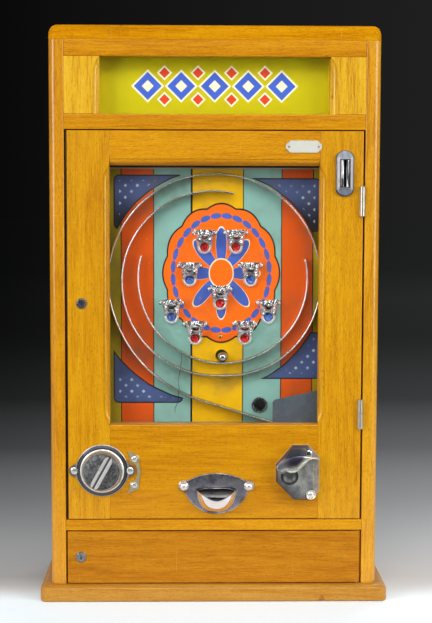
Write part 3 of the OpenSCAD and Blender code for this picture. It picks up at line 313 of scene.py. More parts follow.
@dataclass(frozen=True)
class Oak:
    """Varnished light oak: growth figure, streaks, open pores, ray flecks and fine scratches."""

    name: str
    grain: Grain
    shift: float = 0.0
    light: Colour = (0.79, 0.385, 0.006)
    middle: Colour = (0.655, 0.268, 0.0030)
    dark: Colour = (0.44, 0.150, 0.002)
    pore: Colour = (0.19, 0.070, 0.004)
    depth: float = 1.0
    gloss: Spot = (0.70, 0.16)
    shine: float = 0.12
    # x of an edge whose front is painted near black beside it, as painted shade in the door's gap.
    shaded_seam: float | None = None

    def _run(self, sheet: Sheet, along: float, across: float, turn: float = 0.0) -> Wire:
        """Place stretched along the fibres, by cycles per millimetre along and across them."""
        scale = [across, across, across]
        scale[self.grain.value] = along
        return sheet.place(scale, (self.shift, self.shift * 1.7, self.shift * 0.6), turn)

    def make(self) -> Material:
        """Colour from folded noise (the contour lines of growth) with streaks, pores, flecks and scratches on it."""
        s = Sheet(self.name)
        figure = (s.noise(self._run(s, 0.0020, 0.034), 3.0, 0.55, 0.35) * 11.0).fold(1.0)
        streak = s.noise(self._run(s, 0.034, 0.62), 4.0, 0.62)
        broad = s.noise(self._run(s, 0.0035, 0.011), 2.0)
        pore = s.noise(self._run(s, 0.19, 1.60), 2.0, 0.6).step(0.53, 0.70)
        fleck = s.noise(self._run(s, 0.055, 0.26), 1.0).step(0.655, 0.735)
        scratch = s.noise(self._run(s, 0.9, 0.016, 0.55), 1.0).step(0.755, 0.79)
        nick = s.even(0.055, 2.0, shift=(self.shift, 3.0, 7.0)).step(0.735, 0.765)
        tone = figure * 0.17 + streak * 0.74 + broad * 0.42 - 0.17
        colour = s.ramp(tone, ((0.22, self.dark), (0.48, self.middle), (0.80, self.light)))
        colour = s.coats(
            colour,
            (fleck * (0.22 * self.depth), self.light),
            (pore * (0.52 * self.depth), self.pore),
            (scratch * 0.35, (0.82, 0.50, 0.12)),
            (nick * 0.55, self.pore),
        )
        # Painted shade: near black on the front face at the door's left edge, standing in for the gap beside it.
        if self.shaded_seam is not None:
            x, y, _ = s.axes()
            painted_gap_shade = x.step(self.shaded_seam + 0.5, self.shaded_seam) * y.step(-88.2, -89.0)
            colour = s.mix(painted_gap_shade, colour, (0.004, 0.002, 0.001))
        rough = streak * 0.16 + pore * 0.12 + 0.25
        height = streak * 0.25 - pore * 0.6 - nick * 0.8
        return s.close(
            Base_Color=colour,
            Roughness=rough,
            Normal=s.bump(height, 0.22, 0.55),
            Coat_Weight=self.gloss[0],
            Coat_Roughness=self.gloss[1],
            Specular_IOR_Level=self.shine,
        )


@dataclass(frozen=True)
class Plate:
    """Plated or bare metal: polish that varies, fine scratches and patches of tarnish."""

    name: str
    colour: Colour
    tarnish: Colour
    polish: Spot = (0.07, 0.22)
    worn: Spot = (0.60, 0.72)
    share: float = 0.6
    brushed: Sequence[float] = (0.6, 0.6, 0.6)
    relief: float = 0.02
    specks: float = 0.25
    waves: float = 0.0
    metal: float = 1.0

    def make(self) -> Material:
        """Metal whose colour falls to the tarnish where a broad noise is high, with brushed roughness."""
        s = Sheet(self.name)
        patch = s.even(0.07, 4.0, 0.6).step(*self.worn)
        fine = s.noise(s.place(self.brushed), 3.0, 0.65)
        spots = s.even(0.42, 2.0, shift=(9.0, 2.0, 5.0)).step(0.68, 0.76)
        stain = (patch * self.share + spots * self.specks).least(1.0)
        colour = s.mix(stain, s.mix(fine * 0.25, self.colour, self.tarnish), self.tarnish)
        rough = fine.span(0.25, 0.75, *self.polish) + stain * 0.16
        swell = s.even(0.045, 1.0, shift=(3.0, 8.0, 1.0))
        height = (fine - spots * self.specks) * self.relief + swell * self.waves
        return s.close(Base_Color=colour, Metallic=self.metal, Roughness=rough, Normal=s.bump(height, 1.0, 0.6))


@dataclass(frozen=True)
class Rosette:
    """Turned plate: bands of colour about one axis, the bright ones painted highlights and the dark ones painted dark
    reflections.
    """

    name: str
    middle: Spot
    painted_reflection_bands: tuple[tuple[float, Colour], ...]
    polish: Spot = (0.30, 0.46)

    def make(self) -> Material:
        """Metal whose colour follows the distance from the axis as painted highlights and painted dark reflections,
        with stains and fine turning marks.
        """
        s = Sheet(self.name)
        x, _, z = s.axes()
        dx, dz = x - self.middle[0], z - self.middle[1]
        away = dx.slant(dz)
        fine = s.even(0.5, 3.0, 0.6)
        stain = s.even(0.11, 4.0, 0.65, (2.0, 5.0, 1.0))
        colour = s.ramp((away + (fine - 0.5) * 0.5) / 50.0, [(r / 50.0, c) for r, c in self.painted_reflection_bands])
        colour = s.mix(stain.step(0.50, 0.72) * 0.45, colour, (0.12, 0.12, 0.13))
        marks = (away * 5.0).cos() * 0.5 + fine
        return s.close(
            Base_Color=colour, Metallic=0.82, Roughness=fine.span(0.25, 0.75, *self.polish),
            Normal=s.bump(marks, 0.012, 0.5),
        )


@dataclass(frozen=True)
class ShadedBowl:
    """Half bowl: mirror outside, inside painted near black as painted shade."""

    name: str
    axis: Spot
    foot: float
    radii: Spot = (8.0, 17.5)
    tall: float = 25.0

    def make(self) -> Material:
        """Painted shade: dark where a point is nearer the axis than the outer quarter ellipse at its height."""
        s = Sheet(self.name)
        x, y, z = s.axes()
        dx, dy = x - self.axis[0], y - self.axis[1]
        away = dx.slant(dy)
        c = ((z - self.foot) * (-1.0 / self.tall) + 1.0).most(0.0)
        skin = (c * c * -1.0 + 1.0).most(0.0).root() * self.radii[1] + self.radii[0]
        fine = s.even(0.5, 3.0, 0.6)
        inside = (skin - away).step(0.55, 1.0)
        outer = s.mix(fine.step(0.55, 0.75) * 0.3, (0.97, 0.96, 0.97), (0.60, 0.60, 0.62))
        # The inside painted near black as painted shade under the chute's lip.
        inner = s.mix(fine.step(0.40, 0.70), (0.020, 0.020, 0.022), (0.070, 0.068, 0.066))
        return s.close(
            Base_Color=s.mix(inside, outer, inner), Metallic=0.96, Roughness=inside * 0.35 + fine * 0.05 + 0.03,
            Normal=s.bump(fine, 0.006, 0.5),
        )


@dataclass(frozen=True)
class CastBox:
    """Trigger housing: grey-green casting with painted shade to the lower left, the upper left, on its sloping flanks
    and in its dish, and a pale foot.
    """

    name: str
    middle: Spot = (105.0, 164.6)
    dish: Spot = (94.5, 161.4)
    dish_r: float = 10.9
    face: float = -103.0

    def make(self) -> Material:
        """Masks by depth, by distance from the dish and along a diagonal, over clouded metal; all but the pale foot
        paint shade.
        """
        s = Sheet(self.name)
        x, y, z = s.axes()
        dx, dz = x - self.dish[0], z - self.dish[1]
        away = dx.slant(dz)
        cloud = s.even(0.09, 4.0, 0.65, (1.0, 4.0, 2.0))
        fine = s.noise(s.place((0.45, 0.45, 0.22)), 3.0, 0.65)
        colour = s.mix(cloud.step(0.36, 0.66), (0.66, 0.68, 0.61), (0.33, 0.33, 0.34))
        # Painted shade: darker towards the lower left, and at the upper left beside the lever.
        low = (x - self.middle[0]) * 0.7 + (z - self.middle[1]) * 0.7
        colour = s.mix(low.step(-9.0, -25.0) * 0.75, colour, (0.075, 0.075, 0.12))
        colour = s.mix(z.step(176.0, 188.0) * x.step(118.0, 106.0) * 0.85, colour, (0.075, 0.070, 0.115))
        # Painted shade on the sloping flanks, darkest on the right one; the foot stays pale.
        slope = (y - self.face).step(0.5, 2.5)
        colour = s.coats(
            colour,
            (slope * x.step(121.0, 117.0) * 0.85, (0.055, 0.055, 0.090)),
            (slope * x.step(117.0, 121.0) * 0.55, (0.16, 0.17, 0.16)),
            ((y + 94.0).step(0.2, 1.0), (0.66, 0.64, 0.56)),
        )
        # Painted shade in the dish under the lever, darkest at its middle.
        hollow = (away + (cloud - 0.5) * 1.5).step(self.dish_r + 0.5, self.dish_r - 0.5)
        colour = s.mix(hollow, colour, (0.050, 0.055, 0.052))
        colour = s.mix(away.step(8.6, 6.8) * 0.7, colour, (0.13, 0.14, 0.13))
        rough = fine * 0.16 + 0.30
        metal = slope * -0.45 + 0.9
        normal = s.bump(cloud * 0.5 + fine * 0.2, 0.5, 0.6)
        return s.close(Base_Color=colour, Metallic=metal, Roughness=rough, Normal=normal)


@dataclass(frozen=True)
class LeverSkin:
    """Trigger lever: back painted dark as painted shade away from its lip, paler near the lip and at its round end.
    """

    name: str
    turn: Spot = (101.0, 119.0)
    foot: Spot = (168.0, 17.5)

    def make(self) -> Material:
        """Colour by the height over a line that rises in a step along x, as the lip does."""
        s = Sheet(self.name)
        x, _, z = s.axes()
        cloud = s.even(0.10, 4.0, 0.65, (5.0, 1.0, 2.0))
        fine = s.even(0.5, 3.0, 0.6)
        over = z - (x.step(*self.turn) * self.foot[1] + self.foot[0]) + (cloud - 0.5) * 4.0
        # Painted shade: dark purple-grey higher above the lip's line, pale near it.
        colour = s.mix(over.step(1.5, 11.0), (0.60, 0.61, 0.50), (0.085, 0.080, 0.125))
        colour = s.mix(x.step(97.0, 83.0) * 0.8, colour, (0.50, 0.49, 0.53))
        colour = s.mix(cloud.step(0.55, 0.75) * 0.5, colour, (0.10, 0.10, 0.11))
        rough = fine * 0.16 + 0.24
        return s.close(Base_Color=colour, Metallic=0.92, Roughness=rough, Normal=s.bump(cloud + fine * 0.2, 0.6, 0.6))


@dataclass(frozen=True)
class RailSteel:
    """Sprung steel strip: painted bright as a highlight where it runs upright at the sides, and painted dull at the
    top and foot of its turn.
    """

    name: str
    lane: Spot = LANE

    def make(self) -> Material:
        """Colour by how far x is to a side of the lane, as painted highlights, with stains."""
        s = Sheet(self.name)
        x = s.axes()[0]
        cloud = s.even(0.035, 4.0, 0.6, (2.0, 0.0, 7.0))
        fine = s.even(0.5, 3.0, 0.6)
        side = abs(x - self.lane[0]) + (cloud - 0.5) * 60.0
        # Painted highlight where the strip runs upright at the sides, painted dull at the top and foot.
        colour = s.mix(side.step(45.0, 108.0), (0.40, 0.40, 0.35), (0.97, 0.91, 0.87))
        colour = s.mix(fine.step(0.58, 0.72) * 0.4, colour, (0.25, 0.24, 0.21))
        return s.close(Base_Color=colour, Metallic=0.94, Roughness=fine * 0.12 + 0.18, Normal=s.bump(fine, 0.01, 0.4))


@dataclass(frozen=True)
class PressedChrome:
    """Thin pressed and plated sheet, dented all over."""

    name: str

    def make(self) -> Material:
        """Bright metal over deep dents a few millimetres across, grey-green in their hollows."""
        s = Sheet(self.name)
        dents = s.even(0.20, 2.0, 0.5, (3.0, 1.0, 6.0))
        fine = s.even(0.6, 3.0, 0.6)
        colour = s.mix(dents.step(0.46, 0.66), (0.92, 0.93, 0.94), (0.36, 0.40, 0.40))
        return s.close(
            Base_Color=colour, Metallic=0.93, Roughness=fine * 0.10 + 0.08,
            Normal=s.bump(dents + fine * 0.05, 2.2, 0.9),
        )


@dataclass(frozen=True)
class SlotPlate:
    """Coin entry: raised frame with painted highlight bars, bluish end caps painted lighter towards the top with
    painted facet shade, and a well round the slot painted dark as painted shade.
    """

    name: str
    middle: Spot = (161.4, 540.2)
    frame: Spot = (8.3, 18.4)
    well: Spot = (5.7, 16.9)

    def make(self) -> Material:
        """Colour by how far x and z are from the slot: painted shade in the well and at the edges, paler on the frame
        round it with painted highlight bars.
        """
        s = Sheet(self.name)
        x, _, z = s.axes()
        dx, dz = abs(x - self.middle[0]), abs(z - self.middle[1])
        cloud = s.even(0.10, 3.0, 0.6)
        fine = s.noise(s.place((0.34, 0.34, 0.07)), 2.0, 0.6)
        rim = (dx - self.frame[0]).most(dz - self.frame[1])
        well = (dx - self.well[0]).most(dz - self.well[1])
        # Painted facet shade on the caps, and the caps painted lighter towards the top as painted light.
        facet_shade = abs(x - self.middle[0] + (z - self.middle[1]) * 0.35).fold(4.0) / 4.0
        cap = s.mix(z.span(505.0, 575.0, 0.0, 1.0), (0.30, 0.33, 0.45), (0.86, 0.90, 1.0))
        cap = s.mix(facet_shade * 0.35, cap, (0.22, 0.22, 0.26))
        # Painted highlight bars on the frame at both sides.
        highlight_bars = dx.step(6.6, 7.2) * dx.step(10.3, 9.6) * dz.step(21.0, 19.0)
        colour = s.mix(rim.step(0.5, -0.3), cap, (0.70, 0.70, 0.72))
        colour = s.mix(highlight_bars, colour, (1.0, 0.98, 0.98))
        # The well painted dark as painted shade, with bright streaks as painted reflections.
        well_shade_streaks = s.mix(fine.step(0.42, 0.60), (0.060, 0.060, 0.062), (0.95, 0.95, 0.96))
        colour = s.mix(well.step(0.4, -0.4), colour, well_shade_streaks)
        # Painted shade round the edge of the well.
        colour = s.mix(abs(well - 0.2).step(0.9, 0.3) * 0.85, colour, (0.030, 0.030, 0.032))
        # Painted shade along the plate's outer edge.
        past = (dz - 17.3).most(0.0)
        edge = dx.slant(past)
        colour = s.mix(edge.step(9.9, 10.9) * 0.80, colour, (0.060, 0.060, 0.075))
        colour = s.mix(cloud.step(0.52, 0.75) * 0.5, colour, (0.25, 0.26, 0.30))
        return s.close(
            Base_Color=colour, Metallic=0.66, Roughness=fine * 0.16 + 0.26,
            Normal=s.bump(fine * 0.3 + cloud, 0.12, 0.5),
        )


@dataclass(frozen=True)
class Grip:
    """Knob casting: dark worn disc under a grip bar rubbed bright."""

    name: str
    middle: Spot = KNOB
    tilt: float = math.radians(29.0)
    crest: float = -105.5
    groove: float = 1.9

    def make(self) -> Material:
        """Dark steel that turns to bright metal in front of the crest's plane, and is painted dark along the bar's
        groove as painted shade.
        """
        s = Sheet(self.name)
        x, y, z = s.axes()
        fine = s.even(0.5, 4.0, 0.65)
        lines = s.noise(s.place((0.30, 0.2, 0.30), turn=0.5), 4.0, 0.7)
        across = abs((x - self.middle[0]) * math.cos(self.tilt) - (z - self.middle[1]) * math.sin(self.tilt))
        bright = (y * -1.0 + self.crest + fine * 2.0).step(-0.6, 1.6)
        dull = s.mix(lines.step(0.35, 0.7), (0.060, 0.062, 0.066), (0.23, 0.23, 0.235))
        shine = s.mix(fine.step(0.48, 0.75), (1.0, 0.99, 0.96), (0.62, 0.61, 0.59))
        # Painted shade along the groove in the middle of the bar.
        shine = s.mix(across.step(self.groove, self.groove - 0.9), shine, (0.10, 0.10, 0.105))
        rough = s.math("SUBTRACT", 0.50, bright * 0.10) + fine * 0.12
        return s.close(
            Base_Color=s.mix(bright, dull, shine), Metallic=0.9, Roughness=rough,
            Normal=s.bump(lines + fine, 0.10, 0.6),
        )


@dataclass(frozen=True)
class Zinc:
    """Rolled zinc sheet with crystals that differ a little in tone."""

    name: str
    pale: Colour = (0.145, 0.165, 0.195)
    dark: Colour = (0.085, 0.100, 0.122)

    def make(self) -> Material:
        """Dull grey between two tones by cell, with stains and a soft sheen."""
        s = Sheet(self.name)
        spangle = s.cells(s.place((0.16, 0.16, 0.16)))
        stain = s.even(0.05, 4.0, 0.6)
        fine = s.even(0.9, 2.0)
        colour = s.mix(spangle * 0.35 + stain * 0.65, self.dark, self.pale)
        return s.close(
            Base_Color=colour,
            Metallic=0.55,
            Roughness=fine * 0.14 + 0.36,
            Normal=s.bump(fine * 0.5 + stain, 0.06, 0.5),
        )


@dataclass(frozen=True)
class Glass:
    """Clear sheet glass that lets lamps through to what lies behind it."""

    name: str
    tint: Colour = (0.985, 0.995, 0.99)

    def make(self) -> Material:
        """Refracting glass, seen as clear by shadow rays, with faint smears in its polish."""
        s = Sheet(self.name)
        smear = s.noise(s.place((0.012, 0.012, 0.012), turn=0.6), 4.0, 0.6, 0.6).step(0.45, 0.85)
        material = s.close(
            Base_Color=self.tint, Roughness=smear * 0.035 + 0.004, Transmission_Weight=1.0, IOR=1.45
        )
        clear = s.node("ShaderNodeBsdfTransparent")
        path = s.node("ShaderNodeLightPath")
        both = s.node("ShaderNodeMixShader")
        s.tree.links.new(path.outputs["Is Shadow Ray"], both.inputs[0])
        s.tree.links.new(s.shader.outputs[0], both.inputs[1])
        s.tree.links.new(clear.outputs[0], both.inputs[2])
        s.tree.links.new(both.outputs[0], s.output.inputs[0])
        return material


@dataclass(frozen=True)
class CutGlass:
    """Coloured glass stone, deeper towards its rim."""

    name: str
    deep: Colour
    bright: Colour

    def make(self) -> Material:
        """Two tones by fine noise under a clear coat."""
        s = Sheet(self.name)
        shade = s.even(0.34, 2.0, 0.6)
        fine = s.even(1.6, 2.0)
        colour = s.mix(shade.step(0.34, 0.66), self.deep, self.bright)
        return s.close(
            Base_Color=colour,
            Roughness=fine * 0.08 + 0.10,
            Coat_Weight=1.0,
            Coat_Roughness=0.04,
            Specular_IOR_Level=0.7,
            Normal=s.bump(fine, 0.03, 0.5),
        )


@dataclass(frozen=True)
class Ivory:
    """Cream enamelled plate, a little grubby at its rim and round its pins."""

    name: str
    middle: Spot = (110.3, 573.2)

    def make(self) -> Material:
        """Cream darkened by distance from the plate's middle and by specks."""
        s = Sheet(self.name)
        x, _, z = s.axes()
        away = (abs(x - self.middle[0]) / 22.0).most(abs(z - self.middle[1]) / 7.8)
        dirt = s.even(0.30, 4.0, 0.6)
        speck = s.even(0.9, 2.0).step(0.66, 0.75)
        grime = (away.step(0.72, 1.0) * dirt.step(0.35, 0.7) * 0.55 + speck * 0.25).least(1.0)
        colour = s.mix(grime, s.mix(dirt, (0.72, 0.735, 0.66), (0.63, 0.63, 0.54)), (0.34, 0.28, 0.17))
        return s.close(Base_Color=colour, Roughness=dirt * 0.15 + 0.24, Normal=s.bump(dirt, 0.05, 0.4))


@dataclass(frozen=True)
class FieldPaint:
    """Painted playfield: upright stripes, blue corner panels and a scalloped flower medallion."""

    name: str
    edges: tuple[float, ...] = (-118.6, -77.6, -29.1, 36.2, 85.0, 125.3)
    line: float = 0.95
    yellow: Colour = (0.690, 0.380, 0.001)
    olive: Colour = (0.360, 0.270, 0.006)
    orange: Colour = (0.570, 0.078, 0.005)
    mint: Colour = (0.200, 0.375, 0.325)
    navy: Colour = (0.060, 0.088, 0.205)
    royal: Colour = (0.056, 0.105, 0.400)
    flame: Colour = (0.820, 0.135, 0.005)
    round: float = 6.5
    window: Spot = (224.8, 549.6)
    lane: Spot = LANE
    middle: Spot = (9.0, 414.0)
    reach: Spot = (74.0, 88.0)
    corners: tuple[tuple[tuple[float, float, float, float], float], ...] = (
        ((-127.0, -40.0, 470.0, 538.0), 140.0), ((40.0, 134.6, 467.0, 534.0), 138.5),
        ((-127.6, -40.0, 248.0, 334.0), 157.0), ((45.0, 137.0, 279.0, 338.0), 140.0),
    )

    def _stripes(self, s: Sheet, x: Wire) -> Wire:
        """Seven stripes by x, with a thin ink line on each edge."""
        paints = (self.olive, self.orange, self.mint, self.yellow, self.mint, self.orange, self.olive)
        stops = [(0.0, paints[0])]
        for edge, paint in zip(self.edges, paints[1:]):
            stops += [((edge - self.line + 160.0) / 320.0, INK), ((edge + self.line + 160.0) / 320.0, paint)]
        return s.ramp((x + 160.0) / 320.0, stops, hard=True)

    def _corner(self, x: Wire, z: Wire, away: Wire, box: Sequence[float], radius: float) -> Wire:
        """Depth into a corner panel: inside a box with round corners and outside a circle about the lane's middle."""
        qx = abs(x - (box[0] + box[1]) / 2.0) - ((box[1] - box[0]) / 2.0 - self.round)
        qz = abs(z - (box[2] + box[3]) / 2.0) - ((box[3] - box[2]) / 2.0 - self.round)
        px, pz = qx.most(0.0), qz.most(0.0)
        outside = px.slant(pz) + qx.most(qz).least(0.0) - self.round
        return outside.most(away * -1.0 + radius) * -1.0

    def make(self) -> Material:
        """Masks worked out from x and z, laid over each other from the stripes up, then dirt and wear, painted shadow
        along the left edge and painted light at the window's top edge.
        """
        s = Sheet(self.name)
        x, _, z = s.axes()
        wobble = s.even(0.05, 2.0) - 0.5
        colour = self._stripes(s, x + wobble * 0.8)
        dx, dz = x - self.lane[0], z - self.lane[1]
        away = dx.slant(dz) + wobble * 2.0
        panel = reduce(Wire.most, [self._corner(x, z, away, box, radius) for box, radius in self.corners])
        colour = s.mix(panel.step(-0.9, -0.5), colour, INK)
        smoke = s.even(0.03, 3.0, shift=(4.0, 0.0, 1.0))
        # Navy panels darker towards their lower outer corners and in smoky patches.
        lower_outer = z.step(530.0, 468.0) * abs(x).step(66.0, 122.0) * z.step(440.0, 450.0)
        darkening = lower_outer + smoke.step(0.50, 0.80) * 0.45
        navy = s.mix(darkening.least(0.86), self.navy, (0.010, 0.012, 0.016))
        colour = s.mix(panel.step(0.7, 1.1), colour, navy)
        p, q = (x + z) * (1.0 / 15.0), (x - z) * (1.0 / 15.0)
        lozenge = abs(p.fold(1.0) - 0.5).most(abs(q.fold(1.0) - 0.5))
        spots = lozenge.step(0.17, 0.13) * panel.step(6.0, 7.0) * smoke.step(0.62, 0.45)
        colour = s.mix(spots, colour, (0.40, 0.46, 0.50))
        u, v = (x - self.middle[0]) / self.reach[0], (z - self.middle[1]) / self.reach[1]
        rho = u.slant(v)
        turn = v.angle_to(u)
        rim = abs((turn * 6.0).cos()) * 0.05 + 0.945
        inside = rim - rho
        petal = abs((turn * 4.0).cos()) * 0.66 - rho
        eye = rho * -1.0 + 0.20
        layers = (
            (inside, -0.026, INK, 0.005, self.flame), (petal, -0.022, CREAM, 0.006, self.royal),
            (eye, -0.020, CREAM, 0.006, self.flame),
        )
        for deep, border, line, soft, paint in layers:
            colour = s.mix(deep.step(border, border + 0.006), colour, line)
            colour = s.mix(deep.step(0.0, soft), colour, paint)
        swing = (turn * (14.0 / math.pi)).fold(1.0) - 0.5
        bead = swing * swing * 0.030 + (rho - 0.83) * (rho - 0.83) * 4.0
        colour = s.mix(bead.step(0.0075, 0.0065) * inside.step(0.0, 0.01), colour, self.royal)
        crack = abs(x + 48.0 - (z - 233.0) * 0.075 - wobble * 9.0)
        split = crack.step(0.55, 0.25) * (z - 233.0).step(0.0, 4.0) * (z - 313.0).step(0.0, -4.0)
        colour = s.mix(split * 0.85, colour, INK)
        dirt = s.even(0.018, 5.0, 0.62)
        rub = s.even(0.20, 4.0, 0.7)
        colour = s.mix(dirt.step(0.44, 0.78) * 0.42, colour, (0.10, 0.075, 0.045))
        trail = (away - 127.0).step(-18.0, 0.0) * (away - 127.0).step(26.0, 6.0) * dirt.step(0.30, 0.66)
        # Dirt along the ball's track, painted shadow of the case darkening the board's left edge, then rubbed wear.
        colour = s.coats(
            colour,
            (trail * 0.22, (0.085, 0.060, 0.040)),
            ((x + 131.0).step(16.0, 0.0) * 0.35, (0.05, 0.04, 0.02)),
            (rub.step(0.62, 0.80) * 0.22, (0.80, 0.66, 0.36)),
        )
        # Painted light at the window's top edge: a pale line as the painted reflection of the glass's edge, under a
        # dark band of painted shadow from the top rail; then a darker band below the bottom edge.
        top = z - self.window[1]
        colour = s.coats(
            colour,
            (top.step(-3.9, -3.3), (0.36, 0.30, 0.22)),
            (top.step(-2.3, -1.7), (0.020, 0.016, 0.012)),
            ((z - self.window[0]).step(-1.2, -2.2), (0.20, 0.16, 0.11)),
        )
        return s.close(
            Base_Color=colour,
            Roughness=rub * 0.22 + 0.26,
            Normal=s.bump(rub * 0.4 - split, 0.10, 0.5),
            Specular_IOR_Level=0.2,
        )


@dataclass(frozen=True)
class SignPaint:
    """Yellow-green enamel with a row of blue lozenges and small red diamonds."""

    name: str
    ground: Colour = (0.500, 0.430, 0.001)
    # Paler colour painted towards the edges as painted light, also used for specks.
    shade: Colour = (0.640, 0.560, 0.001)
    blue: Colour = (0.052, 0.115, 0.520)
    red: Colour = (0.640, 0.055, 0.014)
    height: float = 649.0
    pitch: float = 42.0
    lozenge_r: float = 20.5
    gem_r: float = 9.5
    gem_rise: float = 16.5
    pip_r: float = 7.5

    def make(self) -> Material:
        """A lozenge is where |x| plus |z| over its half width is under 1, repeated by the pitch."""
        s = Sheet(self.name)
        x, _, z = s.axes()
        cloud = s.noise(s.place((0.010, 0.02, 0.026)), 3.0)
        fine = s.even(0.35, 4.0, 0.65)
        side, rise, half = abs(x), abs(z - self.height), self.pitch / 2.0
        # Edges painted paler than the ground as painted light, against the shadow the box casts there.
        edge = side.step(112.0, 146.0) * 0.75 + rise.step(22.0, 40.0) * 0.25
        colour = s.mix((edge * cloud * 1.5).least(1.0), self.ground, self.shade)
        small = (x + 2.5 * self.pitch).most(0.0).fold(half)
        big = small * -1.0 + half
        wide = side.step(105.8, 105.2)
        lozenge = (big / self.lozenge_r + rise / self.lozenge_r) * wide + side.step(105.2, 105.8) * 9.0
        gem = small / self.gem_r + abs(rise - self.gem_rise) / self.gem_r
        gem = gem * side.step(96.2, 95.8) + side.step(95.8, 96.2) * 9.0
        for shape, paint, inner in ((lozenge, self.blue, 0.865), (gem, self.red, 0.72)):
            colour = s.mix(shape.step(1.02, 1.0), colour, CREAM)
            colour = s.mix(shape.step(inner, inner - 0.02), colour, paint)
        pip = big / self.pip_r + rise / self.pip_r
        colour = s.mix(pip.step(1.02, 0.98) * wide, colour, CREAM)
        colour = s.mix(fine.step(0.64, 0.78) * 0.25, colour, self.shade)
        return s.close(
            Base_Color=colour, Roughness=fine * 0.2 + 0.22, Normal=s.bump(fine, 0.05, 0.4), Specular_IOR_Level=0.2
        )


# Meshes


def quads(rows: int, columns: int, wrap_rows: bool, wrap_columns: bool) -> np.ndarray:
    """Corner numbers of the quads of a grid of points.

    Args:
        rows: points along the first parameter.
        columns: points along the second.
        wrap_rows: True if the last row joins the first.
        wrap_columns: True if the last column joins the first.

    Returns:
        One row of four numbers per quad.
    """
    i = np.arange(rows if wrap_rows else rows - 1)[:, None]
    j = np.arange(columns if wrap_columns else columns - 1)[None, :]
    up, over = (i + 1) % rows, (j + 1) % columns
    corners = [i * columns + j, i * columns + over, up * columns + over, up * columns + j]
    return np.stack([np.broadcast_to(c, (i.size, j.size)) for c in corners], axis=-1).reshape(-1, 4)


class Shell:
    """Grid surfaces in millimetres, gathered into one piece."""

    def __init__(self) -> None:
        """Starts empty."""
        self.points: list[np.ndarray] = []
        self.faces: list[np.ndarray] = []
        self.count = 0

    def add(self, grid: np.ndarray, wrap_rows: bool = False, wrap_columns: bool = False) -> "Shell":
        """Adds one grid of points.

        Args:
            grid: rows by columns by three coordinates.
            wrap_rows: True if the surface closes along its rows.
            wrap_columns: True if it closes along its columns.

        Returns:
            The shell itself.
        """
        rows, columns = grid.shape[:2]
        self.points.append(grid.reshape(-1, 3))
        self.faces.append(quads(rows, columns, wrap_rows, wrap_columns) + self.count)
        self.count += rows * columns
        return self

    def build(self, name: str, crease: float = 40.0) -> Piece:
        """Makes the piece: points merged, holes closed, faces outwards, smooth up to a crease angle in degrees."""
        mesh = bpy.data.meshes.new(name)
        mesh.from_pydata((np.concatenate(self.points) * MM).tolist(), [], np.concatenate(self.faces).tolist())
        bm = bmesh.new()
        bm.from_mesh(mesh)
        bmesh.ops.remove_doubles(bm, verts=bm.verts, dist=2e-6)
        bmesh.ops.dissolve_degenerate(bm, edges=bm.edges, dist=1e-7)
        bmesh.ops.holes_fill(bm, edges=[e for e in bm.edges if e.is_boundary], sides=0)
        bmesh.ops.recalc_face_normals(bm, faces=bm.faces)
        bm.to_mesh(mesh)
        bm.free()
        return stand(name, mesh, crease)


def stand(name: str, mesh: bpy.types.Mesh, crease: float) -> Piece:
    """Puts a mesh in the scene at the origin, smooth up to a crease angle in degrees."""
    mesh.shade_smooth()
    mesh.set_sharp_from_angle(angle=math.radians(crease))
    piece = bpy.data.objects.new(name, mesh)
    bpy.context.scene.collection.objects.link(piece)
    return piece


def points(*parts: np.ndarray | float) -> np.ndarray:
    """Points from their coordinates, each spread over the others' rows and columns."""
    return np.stack(np.broadcast_arrays(*parts), axis=-1)


def arc(middle: Spot, radius: np.ndarray | float, angle: np.ndarray) -> np.ndarray:
    """Points in a plane about a middle, at a radius and an angle in degrees each."""
    a = np.radians(angle)
    return points(middle[0] + radius * np.cos(a), middle[1] + radius * np.sin(a))


def heading(path: np.ndarray) -> np.ndarray:
    """Unit tangent at each point of a path."""
    ahead = np.gradient(path, axis=0)
    return ahead / np.linalg.norm(ahead, axis=1, keepdims=True)


def beside(path: np.ndarray, across: np.ndarray) -> tuple[np.ndarray, np.ndarray]:
    """x and z of points set off square to a path of x and z, by distances across it."""
    ahead = heading(path)
    return path[:, :1] - ahead[:, 1:] * across, path[:, 1:] + ahead[:, :1] * across


def turned(profile: Sequence[Spot], spot: Spot, face: float, sides: int = 48) -> np.ndarray:
    """A profile of (radius, height out of the face) turned about an axis along Y.

    Args:
        profile: radius and height of each point.
        spot: x and z of the axis.
        face: y of height 0; heights run to the front.
        sides: points round the axis.

    Returns:
        Grid of profile points by sides.
    """
    r, h = np.asarray(profile, float).T
    a = np.linspace(0.0, 2.0 * math.pi, sides, endpoint=False)
    x = spot[0] + r[:, None] * np.cos(a)
    z = spot[1] + r[:, None] * np.sin(a)
    return points(x, face - h[:, None], z)


def dome(radius: float, rise: float, foot: float = 0.0, steps: int = 9) -> list[Spot]:
    """Profile of a domed head: a quarter ellipse over a short straight foot.

    Args:
        radius: of the head.
        rise: height of the dome.
        foot: height of the straight part.
        steps: points on the dome.

    Returns:
        Radius and height of each point, from the face to the top.
    """
    a = np.linspace(0.0, math.pi / 2.0, steps)
    curve = points(radius * np.cos(a), foot + rise * np.sin(a))
    return [(0.0, 0.0), (radius, 0.0), *map(tuple, curve), (0.0, foot + rise)]


